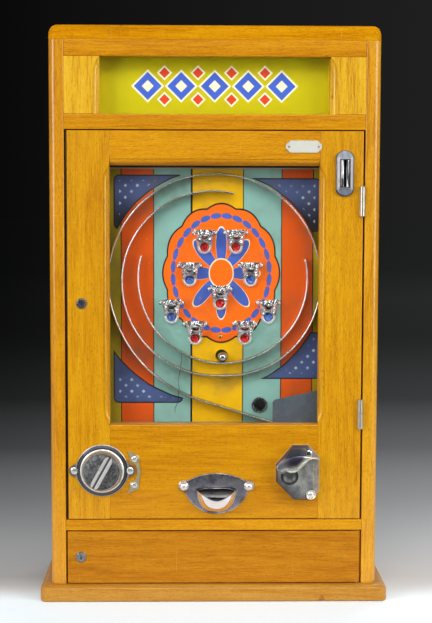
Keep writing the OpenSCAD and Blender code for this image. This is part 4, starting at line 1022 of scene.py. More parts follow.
def slotted(spot: Spot, face: float, radius: float, rise: float, angle: float, slot: float = 0.16) -> np.ndarray:
    """Top of a slotted screw head: chords of a disc along the slot, raised as a dome and dropped in the slot.

    Args:
        spot: x and z of the head's middle.
        face: y that the head stands on.
        radius: of the head.
        rise: height of the head.
        angle: of the slot from X, in degrees.
        slot: half width of the slot as a share of the radius.

    Returns:
        Grid of chords by points on each, with its skirt down to the face.
    """
    a = np.r_[-1.0, np.linspace(-0.97, -slot, 8), -slot + 0.01, slot - 0.01, np.linspace(slot, 0.97, 8), 1.0]
    b = np.linspace(-1.0, 1.0, 17)
    across = np.broadcast_to(a[:, None], (a.size, b.size))
    along = b[None, :] * np.sqrt(np.maximum(1.0 - across**2, 0.0))
    out = rise * np.sqrt(np.maximum(1.0 - 0.80 * (across**2 + along**2), 0.0))
    out = np.where(np.abs(across) < slot, out - 0.45 * rise, out)
    out = np.where((np.abs(b)[None, :] >= 1.0) | (np.abs(across) >= 1.0), 0.0, out)
    t = math.radians(angle)
    x = spot[0] + radius * (along * math.cos(t) - across * math.sin(t))
    z = spot[1] + radius * (along * math.sin(t) + across * math.cos(t))
    return points(x, face - out, z)


def tab(spot: Spot, half: Spot, face: float, thick: float, power: float = 4.0, sides: int = 40) -> np.ndarray:
    """A small plate whose outline is a rounded square: |x/a|^p + |z/b|^p = 1, with an eased front edge.

    Args:
        spot: x and z of its middle.
        half: half width and half height.
        face: y that it lies on.
        thick: thickness towards the front.
        power: p, higher for squarer corners.
        sides: points round it.

    Returns:
        Grid of profile points by sides.
    """
    a = np.linspace(0.0, 2.0 * math.pi, sides, endpoint=False)
    c, s = np.cos(a), np.sin(a)
    size = (np.abs(c) ** power + np.abs(s) ** power) ** (-1.0 / power)
    scale = np.array([0.0, 1.0, 1.0, 0.93, 0.0])[:, None]
    out = np.array([0.0, 0.0, 0.65, 1.0, 1.0])[:, None] * thick
    x = spot[0] + scale * size * c * half[0]
    z = spot[1] + scale * size * s * half[1]
    return points(x, face - out, z)


def tube(path: np.ndarray, side: np.ndarray, radius: float, sides: int = 10) -> np.ndarray:
    """A round wire carried along a path: circles square to the path's tangent.

    Args:
        path: points along the wire.
        side: a direction at each point that is not along the path.
        radius: of the wire.
        sides: points round it.

    Returns:
        Grid of path points by sides.
    """
    ahead = heading(path)
    first = side - np.sum(side * ahead, axis=1, keepdims=True) * ahead
    first /= np.linalg.norm(first, axis=1, keepdims=True)
    second = np.cross(ahead, first)
    a = np.linspace(0.0, 2.0 * math.pi, sides, endpoint=False)[None, :, None]
    return path[:, None, :] + radius * (np.cos(a) * first[:, None, :] + np.sin(a) * second[:, None, :])


def body_of(node: str) -> str:
    """Name of the body that carries a CAD node."""
    return next(name for name, nodes in frame["record"]["behaviour"]["bodies"].items() if node in nodes)


def slot_of(node: str) -> str | None:
    """Name of the record's slot that holds a CAD node."""
    return next((p["material_slot"] for p in frame["record"]["subparts"] if p["node"] == node), None)


def stand_for(piece: Piece, *nodes: str) -> None:
    """Hides the CAD nodes that a piece stands for and looks up the first one's slot."""
    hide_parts(*nodes)
    name = slot_of(nodes[0])


def settle(piece: Piece, material: Material, body: str, *nodes: str) -> Piece:
    """Dresses a new piece, rides it on a body and lets it stand for CAD nodes.

    Args:
        piece: the new object.
        material: its finish.
        body: the body that it moves with.
        nodes: CAD nodes that it replaces.

    Returns:
        The piece.
    """
    piece.data.materials.clear()
    piece.data.materials.append(material)
    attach(piece, body)
    if nodes:
        stand_for(piece, *nodes)
    LOG.info("%s: %d faces on %s", piece.name, len(piece.data.polygons), body)
    return piece


def soften(node: str, material: Material, ease: float = 0.5, crease: float = 32.0) -> Piece:
    """A merged copy of a CAD node with its sharp edges eased.

    Args:
        node: the CAD node.
        material: its finish.
        ease: width of the eased edge in millimetres, 0 for none.
        crease: angle in degrees past which an edge is sharp.

    Returns:
        The piece that stands for the node.
    """
    mesh = frame["nodes"][node].data.copy()
    mesh.name = node + ".eased"
    bm = bmesh.new()
    bm.from_mesh(mesh)
    bmesh.ops.remove_doubles(bm, verts=bm.verts, dist=5e-6)
    bmesh.ops.dissolve_limit(
        bm, angle_limit=math.radians(0.4), verts=bm.verts, edges=bm.edges, use_dissolve_boundaries=False
    )
    bm.to_mesh(mesh)
    bm.free()
    stored = mesh.attributes.get("custom_normal")
    if stored is not None:
        mesh.attributes.remove(stored)
    piece = stand(node + ".eased", mesh, crease)
    if ease > 0.0:
        bevel = piece.modifiers.new("eased_edges", "BEVEL")
        bevel.width = ease * MM
        bevel.segments = 2
        bevel.limit_method = "ANGLE"
        bevel.angle_limit = math.radians(crease)
        bevel.miter_outer = "MITER_ARC"
        bevel.harden_normals = True
    return settle(piece, material, body_of(node), node)


def dress(node: str, material: Material) -> None:
    """Gives a CAD node that stays as it is its finish."""
    mesh = frame["nodes"][node].data
    mesh.materials.clear()
    mesh.materials.append(material)
    LOG.info("%s: solid kept", node)


# The studio


@dataclass
class Studio:
    """Pale floor painted darker with distance as painted light falloff, dark surround, soft lamps and the camera."""

    eye: tuple[float, float, float] = (-34.25, -1847.1, 512.5)
    yaw: float = 0.0205
    pitch: float = -0.0821
    roll: float = 0.0028
    lens: float = 81.46
    # Floor colour at the left and right by y, painted darker away from the case as painted light falloff.
    tones: tuple[tuple[float, float, float], ...] = (
        (-1400.0, 0.018, 0.018), (-1000.0, 0.030, 0.030), (-860.0, 0.075, 0.075), (-720.0, 0.22, 0.22),
        (-560.0, 0.46, 0.46), (-330.0, 0.60, 0.60), (-190.0, 0.93, 0.93), (-85.0, 0.93, 0.93),
        (10.0, 0.43, 0.70), (194.0, 0.41, 0.62), (529.0, 0.222, 0.37), (997.0, 0.068, 0.155),
        (1694.0, 0.0200, 0.0560), (3000.0, 0.0125, 0.052), (5100.0, 0.0130, 0.066), (8000.0, 0.0110, 0.046),
    )
    warmth: Colour = (0.965, 1.0, 1.035)
    # Colour of the painted glow on the floor just before the case, seen by the camera alone.
    painted_glow: Colour = (0.10, 0.17, 0.20)
    # Pale floor colour painted far in front for the camera alone, as painted light.
    near: Colour = (0.60, 0.61, 0.62)
    fill: float = 0.30
    lines: int = 61
    reach: float = 30000.0
    bend: float = 4.0
    start: float = -1500.0
    run: float = 9500.0
    aim: tuple[float, float, float] = (0.0, 0.0, 0.36)
    lamps: tuple[tuple[str, tuple[float, float, float], Spot, float], ...] = (
        ("left_lamp", (-1.75, -1.55, 1.05), (0.9, 1.7), 31.0), ("right_lamp", (1.75, -1.45, 0.95), (0.9, 1.7), 26.0),
        ("front_lamp", (0.1, -2.3, 2.3), (1.8, 0.9), 29.0), ("back_lamp", (0.6, 1.9, 1.9), (1.6, 0.8), 18.0),
    )
    room: tuple[tuple[float, Colour], ...] = (
        (-0.1, (0.030, 0.032, 0.040)), (0.12, (0.050, 0.053, 0.064)), (0.30, (0.11, 0.115, 0.13)),
        (0.42, (0.60, 0.60, 0.60)), (0.62, (0.55, 0.55, 0.55)), (0.80, (0.16, 0.165, 0.18)),
    )
    wall: tuple[tuple[float, Colour], ...] = ((-0.13, (0.0029, 0.0029, 0.0031)), (0.174, (0.0138, 0.0138, 0.0140)))

    def camera(self) -> None:
        """Sets the camera from its place and its three angles."""
        cp, sp = math.cos(self.pitch), math.sin(self.pitch)
        ahead = Vector((math.sin(self.yaw) * cp, math.cos(self.yaw) * cp, sp))
        right = Vector((math.cos(self.yaw), -math.sin(self.yaw), 0.0))
        up = right.cross(ahead)
        cr, sr = math.cos(self.roll), math.sin(self.roll)
        x, y = right * cr + up * sr, up * cr - right * sr
        data = bpy.data.cameras.new("camera")
        data.lens = self.lens
        data.sensor_width = 36.0
        data.clip_end = 100.0
        camera = bpy.data.objects.new("camera", data)
        turn = Matrix((x, y, -ahead)).transposed().to_4x4()
        camera.matrix_world = Matrix.Translation(Vector(self.eye) * MM) @ turn
        bpy.context.scene.collection.objects.link(camera)
        bpy.context.scene.camera = camera

    def floor(self) -> None:
        """A wide flat grid whose colour is painted light: brightest just before the case, painted darker behind it,
        in front of it and to the left; the camera alone sees the far front pale and a painted glow just before the
        case.
        """
        s = np.sinh(np.linspace(-self.bend, self.bend, self.lines)) / math.sinh(self.bend) * self.reach
        x, y = np.meshgrid(s, s, indexing="ij")
        grid = points(x, y, -0.3)
        mesh = bpy.data.meshes.new("floor")
        faces = quads(self.lines, self.lines, False, False)[:, ::-1]
        mesh.from_pydata((grid.reshape(-1, 3) * MM).tolist(), [], faces.tolist())
        piece = bpy.data.objects.new("floor", mesh)
        bpy.context.scene.collection.objects.link(piece)
        sheet = Sheet("studio_floor")
        px, py, _ = sheet.axes()
        grit = sheet.even(0.02, 3.0)
        deep = (py - self.start) / self.run + (grit - 0.5) * 0.0012
        places = [(row[0] - self.start) / self.run for row in self.tones]
        left, right = (
            sheet.ramp(deep, [(p, tuple(row[k] * w for w in self.warmth)) for p, row in zip(places, self.tones)])
            for k in (1, 2)
        )
        aside = (px - self.eye[0]) / (py - self.eye[1]).most(200.0)
        over = aside.span(self.wall[0][0], self.wall[1][0], 0.0, 1.0)
        seen = Wire(sheet, sheet.node("ShaderNodeLightPath").outputs["Is Camera Ray"])
        # For the camera alone: the far front painted pale and a painted glow just before the case.
        colour = sheet.mix(seen * py.step(-420.0, -620.0), sheet.mix(over, left, right), self.near)
        mesh.materials.append(
            sheet.close(
                Base_Color=colour,
                Roughness=grit * 0.1 + 0.7,
                Specular_IOR_Level=0.0,
                Emission_Color=self.painted_glow,
                Emission_Strength=seen * py.step(-20.0, -100.0) * py.step(-900.0, -560.0),
            )
        )

    def lamp(self, name: str, spot: Sequence[float], size: Spot, power: float) -> None:
        """A soft rectangular lamp that faces the machine.

        Args:
            name: of the lamp.
            spot: place in metres.
            size: width and height in metres.
            power: in watts.
        """
        data = bpy.data.lights.new(name, "AREA")
        data.shape = "RECTANGLE"
        data.size, data.size_y = size
        data.energy = power
        lamp = bpy.data.objects.new(name, data)
        lamp.location = spot
        lamp.rotation_euler = (Vector(self.aim) - Vector(spot)).to_track_quat("-Z", "Y").to_euler()
        bpy.context.scene.collection.objects.link(lamp)

    def surround(self) -> None:
        """Near black to the eye and in glass, a dim room in metal, and an even pale light on everything else."""
        world = bpy.data.worlds.new("surround")
        bpy.context.scene.world = world
        world.use_nodes = True
        tree = world.node_tree
        tree.nodes.clear()
        path = tree.nodes.new("ShaderNodeLightPath")
        split = tree.nodes.new("ShaderNodeSeparateXYZ")
        tree.links.new(tree.nodes.new("ShaderNodeTexCoord").outputs["Generated"], split.inputs[0])

        def ramp(axis: int, stops: Sequence[tuple[float, Colour]]) -> Socket:
            """Colour by one coordinate of the direction, from -1 to 1."""
            place = tree.nodes.new("ShaderNodeMapRange")
            tree.links.new(split.outputs[axis], place.inputs[0])
            place.inputs[1].default_value = -1.0
            node = tree.nodes.new("ShaderNodeValToRGB")
            while len(node.color_ramp.elements) < len(stops):
                node.color_ramp.elements.new(0.5)
            for element, (where, colour) in zip(node.color_ramp.elements, stops):
                element.position, element.color = 0.5 + 0.5 * where, (*colour, 1.0)
            tree.links.new(place.outputs[0], node.inputs[0])
            return node.outputs[0]

        def layer(under: Socket, over: Socket, rays: Sequence[str]) -> Socket:
            """Lays one light over another for some kinds of ray."""
            for ray in rays:
                both = tree.nodes.new("ShaderNodeMixShader")
                tree.links.new(path.outputs[ray], both.inputs[0])
                tree.links.new(under, both.inputs[1])
                tree.links.new(over, both.inputs[2])
                under = both.outputs[0]
            return under

        even, room, seen = (tree.nodes.new("ShaderNodeBackground") for _ in range(3))
        even.inputs[0].default_value = (1.0, 0.99, 0.97, 1.0)
        even.inputs[1].default_value = self.fill
        tree.links.new(ramp(2, self.room), room.inputs[0])
        tree.links.new(ramp(0, self.wall), seen.inputs[0])
        light = layer(even.outputs[0], room.outputs[0], ("Is Glossy Ray",))
        light = layer(light, seen.outputs[0], ("Is Camera Ray", "Is Transmission Ray"))
        tree.links.new(light, tree.nodes.new("ShaderNodeOutputWorld").inputs[0])

    def build(self) -> None:
        """Camera, floor, surround and lamps."""
        bpy.context.scene.view_settings.view_transform = "Standard"
        self.camera()
        self.floor()
        self.surround()
        for row in self.lamps:
            self.lamp(*row)


# The machine


@dataclass
class Case:
    """Oak case: plinth, sides, top, back, rails and shelf."""

    upright: tuple[str, ...] = ("left_side", "right_side", "sign_stiles", "back_board", "door_stop")
    level: tuple[str, ...] = ("base_plinth", "top_board", "mid_rail", "sign_rails", "cash_shelf", "sign_carriers")
    ease: float = 0.6
    tones: ClassVar[dict[str, dict[str, Colour | Spot | float]]] = {
        "back_board": {"light": (0.62, 0.29, 0.03), "middle": (0.50, 0.21, 0.012)},
        "sign_stiles": {"light": (0.92, 0.57, 0.042), "middle": (0.80, 0.44, 0.016), "depth": 0.7},
        "left_side": {"gloss": (1.0, 0.20)},
        # The right side painted lighter than the left, as painted light where the right lamp's highlight falls.
        "right_side": {"gloss": (1.0, 0.24), "light": (0.86, 0.46, 0.012), "middle": (0.73, 0.33, 0.006)},
        "base_plinth": {"light": (0.66, 0.35, 0.06), "middle": (0.52, 0.245, 0.028), "gloss": (0.4, 0.2)},
        "top_board": {"gloss": (0.0, 0.35), "shine": 0.0},
        "sign_rails": {"gloss": (0.25, 0.2)},
        "mid_rail": {"gloss": (0.25, 0.2)},
    }

    def build(self) -> None:
        """Each board gets its own run of grain, and some their own tone or varnish."""
        runs = ((self.upright, Grain.UPRIGHT, 11.0, 7.3), (self.level, Grain.LEVEL, 43.0, 5.9))
        for nodes, grain, first, pace in runs:
            for k, node in enumerate(nodes):
                oak = Oak(f"oak_{node}", grain, first + pace * k, **self.tones.get(node, {}))
                soften(node, oak.make(), self.ease)


@dataclass
class SignBox:
    """Glazed sign over the door, with its painted panel."""

    def build(self) -> None:
        """The panel keeps its solid, and the glass is eased."""
        dress("sign_panel", SignPaint("sign_enamel").make())
        soften("sign_glass", Glass("sign_glass_clear").make(), 0.3)


@dataclass
class Door:
    """Glazed oak door with its hinges, lock, coin entry and bare notice plate."""

    pins: tuple[Spot, ...] = ((91.8, 573.2), (128.8, 573.2))
    lock_nodes: tuple[str, ...] = ("door_lock_barrel", "door_lock_plug")
    # x of the door's left edge, where shade in the gap is painted on the stile.
    shaded_seam: float = -183.8

    def build(self, nickel: Material, steel: Material) -> None:
        """Frame pieces with their grain, then glass, hinges, lock, entry and plate.

        Args:
            nickel: finish of the hinges.
            steel: finish of the lock and pins.
        """
        for k, node in enumerate(("door_left_stile", "door_right_stile", "door_strips")):
            oak = Oak(
                f"oak_{node}", Grain.UPRIGHT, 87.0 + 9.1 * k, light=(0.81, 0.425, 0.008), middle=(0.67, 0.300, 0.004),
                shaded_seam=None if k else self.shaded_seam,
            )
            soften(node, oak.make(), 0.5)
        for k, node in enumerate(("door_top_rail", "door_bottom_rail")):
            tone = {"light": (0.75, 0.365, 0.004), "middle": (0.62, 0.255, 0.002)} if k else {}
            oak = Oak(f"oak_{node}", Grain.LEVEL, 131.0 + 6.7 * k, gloss=(0.35, 0.18), **tone)
            soften(node, oak.make(), 0.5)
        soften("door_glass", Glass("door_glass_clear").make(), 0.3)
        for node in ("hinge_case_leaves", "hinge_door_leaves"):
            soften(node, nickel, 0.35)
        for node in self.lock_nodes:
            soften(node, steel, 0.25)
        soften("coin_entry", SlotPlate("entry_chrome").make(), 0.5)
        soften("notice_plate", Ivory("plate_ivory").make(), 0.25)
        pins = Shell()
        for spot in self.pins:
            pins.add(turned(dome(1.3, 0.7, 0.2), spot, FRONT - 1.2, 24), wrap_columns=True)
        settle(pins.build("notice_plate_pins"), steel, "door")


@dataclass
class BallRails:
    """Sprung steel strips that the ball runs round, each with a rolled front edge."""

    lane: Spot = LANE
    lane_r: float = 134.5
    launch_r: float = 170.0
    launch_a: float = 195.0
    slope: float = 17.0
    ramp: float = 106.0
    spiral: tuple[float, float, float, float] = (276.0, 121.5, 78.0, 112.5)
    bowl: Spot = (10.8, 407.0)
    bowl_r: float = 107.0
    thick: float = 1.5
    front: float = -67.0
    bead: float = 1.1

    def outer(self) -> np.ndarray:
        """Ramp, launching curve, three quarters of a circle, then a spiral drawn in by the square of its turn."""
        a = math.radians(self.launch_a)
        lift = self.lane_r - self.launch_r
        middle = (self.lane[0] + lift * math.cos(a), self.lane[1] + lift * math.sin(a))
        end = 270.0 - self.slope
        launch = arc(middle, self.launch_r, np.linspace(end, self.launch_a, 20))
        t = math.radians(self.slope)
        foot = launch[:1] + self.ramp * np.array([[math.cos(t), -math.sin(t)]])
        run = np.linspace(foot[0], launch[0], 12, endpoint=False)
        circle = arc(self.lane, self.lane_r, np.linspace(self.launch_a, 0.0, 111)[1:])
        k = np.linspace(0.0, 1.0, 49)[1:]
        drawn = self.lane_r - (self.lane_r - self.spiral[1]) * k**2
        return np.concatenate([run, launch, circle, arc(self.lane, drawn, -k * (360.0 - self.spiral[0]))])

    def middle(self) -> np.ndarray:
        """The spiral going on from the foot, up the left and over the top."""
        first, r0, last, r1 = self.spiral
        return arc(self.lane, np.linspace(r0, r1, 115), np.linspace(first, last, 115))

    def inner(self) -> np.ndarray:
        """An arc about the cups."""
        return arc(self.bowl, self.bowl_r, np.linspace(164.0, 374.0, 121))

    def strip(self, path: np.ndarray) -> np.ndarray:
        """A strip on edge carried along a path: two flat walls from the board to a rolled edge, a circle, in front.

        Args:
            path: x and z along the middle of the strip.

        Returns:
            Grid of path points by points round the section.
        """
        half = self.thick / 2.0
        turn = math.asin(half / self.bead)
        a = np.linspace(turn, 2.0 * math.pi - turn, 21)
        across = np.r_[half, half, self.bead * np.sin(a), -half, -half]
        y = np.r_[FIELD, FIELD - 6.0, self.front + self.bead * np.cos(a), FIELD - 6.0, FIELD]
        x, z = beside(path, across)
        return points(x, y, z)

    def build(self, steel: Material) -> None:
        """The three rails."""
        paths = {"outer_rail": self.outer(), "middle_rail": self.middle(), "inner_rail": self.inner()}
        for node, path in paths.items():
            rail = Shell().add(self.strip(path), wrap_columns=True)
            settle(rail.build(node + ".rolled", 50.0), steel, "door", node)


@dataclass
class Playfield:
    """Painted board with rails, cups, stones, peg, eyelet, cover and ball."""

    red_cups: tuple[Spot, ...] = ((-12.4, 447.3), (27.4, 447.3), (7.5, 375.9), (-24.2, 331.0), (39.2, 331.0))
    blue_cups: tuple[Spot, ...] = ((-31.2, 405.7), (46.2, 405.7), (-54.1, 358.2), (69.1, 358.2))
    ring_r: float = 8.5
    flange_r: float = 9.5
    taper: Spot = (9.6, 12.6)
    deep: float = 3.5
    wall: float = 1.2
    stone_r: float = 5.6

    def _radius(self, z: np.ndarray) -> np.ndarray:
        """Half width of a pouch at a height over its ring's middle."""
        return self.taper[0] + (self.taper[1] - self.taper[0]) * np.clip((z - 1.2) / 19.8, 0.0, 1.1) ** 1.1

    def pouch(self, spot: Spot) -> np.ndarray:
        """A cup's bowl: a U of straight sides and a half circle, carried along its floor, walls and rim.

        The radius grows with height. The rim falls from the crown at the sides to a low lip in front, as a power of
        the cosine round the U, and the wall reaches down beside the ring by another power of it.

        Args:
            spot: x and z of the cup's ring.

        Returns:
            Grid of wall points by points along the U.
        """
        a = np.linspace(math.pi, 2.0 * math.pi, 61)
        lead = np.linspace(1.0, 0.0, 5)[:-1]
        ax = np.r_[np.full(4, -1.0), np.sign(np.cos(a)) * np.abs(np.cos(a)) ** 0.65, np.full(4, 1.0)]
        ay = np.r_[np.full(4, 0.0), -(np.abs(np.sin(a)) ** 0.65), np.full(4, 0.0)]
        back = np.r_[-self.deep * (1.0 - lead), np.full(61, -self.deep), -self.deep * (1.0 - lead[::-1])]
        foot = 6.2 - 5.0 * np.abs(ax) ** 3
        rim = 9.0 + 11.8 * np.abs(ax) ** 1.5
        floor = 6.2 + self.wall
        h = np.linspace(0.0, 1.0, 15)[:, None]
        outer = foot + h * (rim - foot)
        inner = floor + h[::-1] * (rim - floor)
        under = [(self._radius(foot) * k, 6.2 - (6.2 - foot) * k * k) for k in (0.0, 0.5)]
        over = [((self._radius(foot) - self.wall) * k, np.full_like(foot, floor)) for k in (0.5, 0.0)]
        crest = [(self._radius(rim) - self.wall * 0.5, rim + 0.45)]
        r = np.stack([u[0] for u in under] + list(self._radius(outer)) + [c[0] for c in crest]
                     + list(self._radius(inner) - self.wall) + [o[0] for o in over])
        z = np.stack([u[1] for u in under] + list(outer) + [c[1] for c in crest] + list(inner) + [o[1] for o in over])
        x = spot[0] + r * ax
        y = np.minimum(FIELD + back * np.minimum(r / 3.0, 1.0) + r * ay, FIELD)
        return points(x, y, spot[1] + z)

    def crown(self, spot: Spot) -> np.ndarray:
        """Pressed plate over a cup's mouth: two upright ribs as bell curves, and a foot bent into the hole.

        Args:
            spot: x and z of the cup's ring.

        Returns:
            Grid of rows up by points across, with a border on the board.
        """
        u = np.r_[-12.6, np.linspace(-12.6, 12.6, 73), 12.6][None, :]
        v = np.r_[0.0, np.linspace(0.0, 1.0, 15), 1.0][:, None]
        top = 21.4 + 0.9 * np.abs(np.cos(math.pi * u / 6.3))
        z = 10.8 + v * (top - 10.8)
        bent = np.clip((15.2 - z) / 4.4, 0.0, 1.0)
        ribs = np.exp(-(((np.abs(u) - 2.8) / 1.25) ** 2)) * np.clip((z - 15.0) / 1.5, 0.0, 1.0)
        out = 1.6 + 1.5 * ribs - 4.0 * bent + 0.04 * np.clip(np.abs(u) - 8.0, 0.0, 5.0) ** 2 * (1.0 - bent)
        out[-1] = 0.0
        out[:, 0] = out[:, -1] = -2.4 * bent[:, 0]
        x = spot[0] + u * (1.0 - 0.56 * np.clip(bent * 2.0, 0.0, 1.0))
        return points(x, FIELD - out, spot[1] + z)

    def cups(self, chrome: Material, bright: Material) -> None:
        """All nine cups with their crowns and ears as one piece, their stone rings and nails as another.

        Args:
            chrome: finish of the cups.
            bright: finish of the rings and nails.
        """
        shell, rings = Shell(), Shell()
        ring = [
            (self.stone_r + 0.2, 0.0), (self.flange_r, 0.0), (self.flange_r, 0.9), (self.flange_r - 0.5, 1.9),
            (self.ring_r, 2.4), (self.ring_r, 3.3), (self.ring_r - 0.25, 4.3), (self.ring_r - 0.8, 5.1),
            (self.ring_r - 1.5, 5.55), (self.ring_r - 2.2, 5.35), (self.stone_r + 0.2, 4.4),
        ]
        for spot in self.red_cups + self.blue_cups:
            shell.add(self.pouch(spot))
            shell.add(self.crown(spot))
            rings.add(turned(ring, spot, FIELD, 48), wrap_rows=True, wrap_columns=True)
            for side in (-1.0, 1.0):
                ear = (spot[0] + side * 12.9, spot[1] + 18.2)
                shell.add(tab(ear, (3.4, 2.9), FIELD, self.wall), wrap_columns=True)
                nail = (ear[0] + side * 0.9, ear[1])
                rings.add(turned(dome(2.0, 1.5, 0.3), nail, FIELD - self.wall, 24), wrap_columns=True)
        settle(shell.build("ball_cups.pressed", 50.0), chrome, "door", "ball_cups")
        settle(rings.build("cup_rings", 50.0), bright, "door")

    def stones(self, name: str, spots: Sequence[Spot], material: Material, node: str) -> None:
        """Cut stones: rings of twelve points, each turned half a step on the last, with a flat table.

        Args:
            name: of the piece.
            spots: x and z of each stone.
            material: its glass.
            node: the CAD node that it stands for.
        """
        shell = Shell()
        r = np.array([0.0, 5.6, 5.6, 4.5, 3.0, 0.0])[:, None]
        h = np.array([0.0, 0.0, 1.9, 3.2, 4.0, 4.2])[:, None]
        half = np.array([0.0, 0.0, 0.0, 0.5, 1.0, 1.0])[:, None]
        a = (np.arange(12)[None, :] + half) * (2.0 * math.pi / 12.0)
        for spot in spots:
            grid = points(spot[0] + r * np.cos(a), FIELD - h, spot[1] + r * np.sin(a))
            shell.add(grid, wrap_columns=True)
        settle(shell.build(name, 5.0), material, "door", node)

    def build(self, bright: Material, steel: Material) -> None:
        """The board, then what stands on it.

        Args:
            bright: finish of the stone rings.
            steel: finish of the ball.
        """
        soften("playfield_board", FieldPaint("field_paint").make(), 0.3)
        BallRails().build(RailSteel("rail_steel").make())
        self.cups(PressedChrome("cup_chrome").make(), bright)
        red = CutGlass("red_enamel_glass", (0.34, 0.008, 0.008), (0.92, 0.034, 0.030))
        blue = CutGlass("blue_enamel_glass", (0.036, 0.070, 0.32), (0.16, 0.31, 0.86))
        self.stones("red_jewels.cut", self.red_cups, red.make(), "red_jewels")
        self.stones("blue_jewels.cut", self.blue_cups, blue.make(), "blue_jewels")
        brass = Plate("peg_brass", (0.62, 0.44, 0.16), (0.24, 0.15, 0.05), (0.14, 0.34)).make()
        soften("lost_peg", brass, 0.2)
        dull = Plate("eyelet_steel", (0.42, 0.43, 0.44), (0.08, 0.08, 0.085), (0.16, 0.36)).make()
        soften("ball_eyelet", dull, 0.2)
        soften("striker_cover", Zinc("cover_zinc").make(), 0.25)
        soften("steel_ball", steel, 0.0)


@dataclass
class PayoutKnob:
    """Ringed escutcheon with a grip-bar knob, and the keeper plate beside it."""

    middle: Spot = KNOB
    ear: float = 34.0
    keeper: tuple[Spot, ...] = ((-100.6, 148.0), (-100.6, 181.4))
    # Radius and colour of each ring of the escutcheon: painted highlights and painted dark reflections.
    painted_reflection_bands: tuple[tuple[float, Colour], ...] = (
        (20.0, (0.06, 0.06, 0.07)), (21.6, (0.06, 0.06, 0.07)), (22.1, (0.86, 0.86, 0.80)),
        (23.2, (0.36, 0.37, 0.34)), (25.4, (0.58, 0.59, 0.54)), (26.3, (0.98, 0.97, 0.94)),
        (27.2, (0.92, 0.91, 0.88)), (27.8, (0.060, 0.062, 0.070)), (29.8, (0.15, 0.155, 0.165)),
        (31.9, (0.040, 0.040, 0.055)), (32.5, (0.50, 0.49, 0.46)), (33.3, (0.56, 0.55, 0.51)),
        (34.6, (0.24, 0.24, 0.24)),
    )

    def hook(self) -> np.ndarray:
        """Keeper plate: a strip along a parabola, wide by a bell curve at each screw and drawn in to both tips.

        Returns:
            Grid of path points by points round the strip's section.
        """
        s = np.linspace(-1.0, 1.0, 81)
        path = points(-94.8 - 14.0 * s**2, 164.5 + 26.6 * s)
        tip = np.sqrt(np.clip(1.0 - (np.clip(np.abs(s) - 0.78, 0.0, 0.22) / 0.22) ** 2, 0.004, 1.0))
        half = ((2.3 + 4.3 * np.exp(-(((np.abs(s) - 0.64) / 0.17) ** 2))) * tip)[:, None]
        across = np.array([-1.0, -1.0, -0.86, 0.0, 0.86, 1.0, 1.0])[None, :]
        y = FRONT - np.array([0.0, 1.2, 1.9, 2.1, 1.9, 1.2, 0.0])
        x, z = beside(path, half * across)
        return points(x, y, z)

    def build(self, bright: Material) -> None:
        """The castings eased, then the keeper and four slotted screws.

        Args:
            bright: finish of the screws.
        """
        soften("knob_escutcheon", Rosette("escutcheon_nickel", self.middle, self.painted_reflection_bands).make(), 0.4)
        soften("payout_knob", Grip("knob_worn").make(), 0.9)
        brass = Plate(
            "keeper_brass", (0.60, 0.53, 0.33), (0.24, 0.21, 0.12), (0.48, 0.62), (0.50, 0.70), share=0.5,
            brushed=(0.4, 0.4, 0.4), specks=0.2,
        )
        hook = Shell().add(self.hook(), wrap_columns=True).build("keeper_bracket.hook")
        settle(hook, brass.make(), "door", "keeper_bracket")
        screws = Shell()
        for side, angle in ((-1.0, 35.0), (1.0, -20.0)):
            spot = (self.middle[0] + side * (self.ear + 1.0), self.middle[1])
            screws.add(slotted(spot, FRONT - 2.5, 4.6, 1.9, angle))
        for spot, angle in zip(self.keeper, (70.0, 15.0)):
            screws.add(slotted(spot, FRONT - 1.9, 3.6, 1.5, angle))
        settle(screws.build("knob_screws", 35.0), bright, "door")


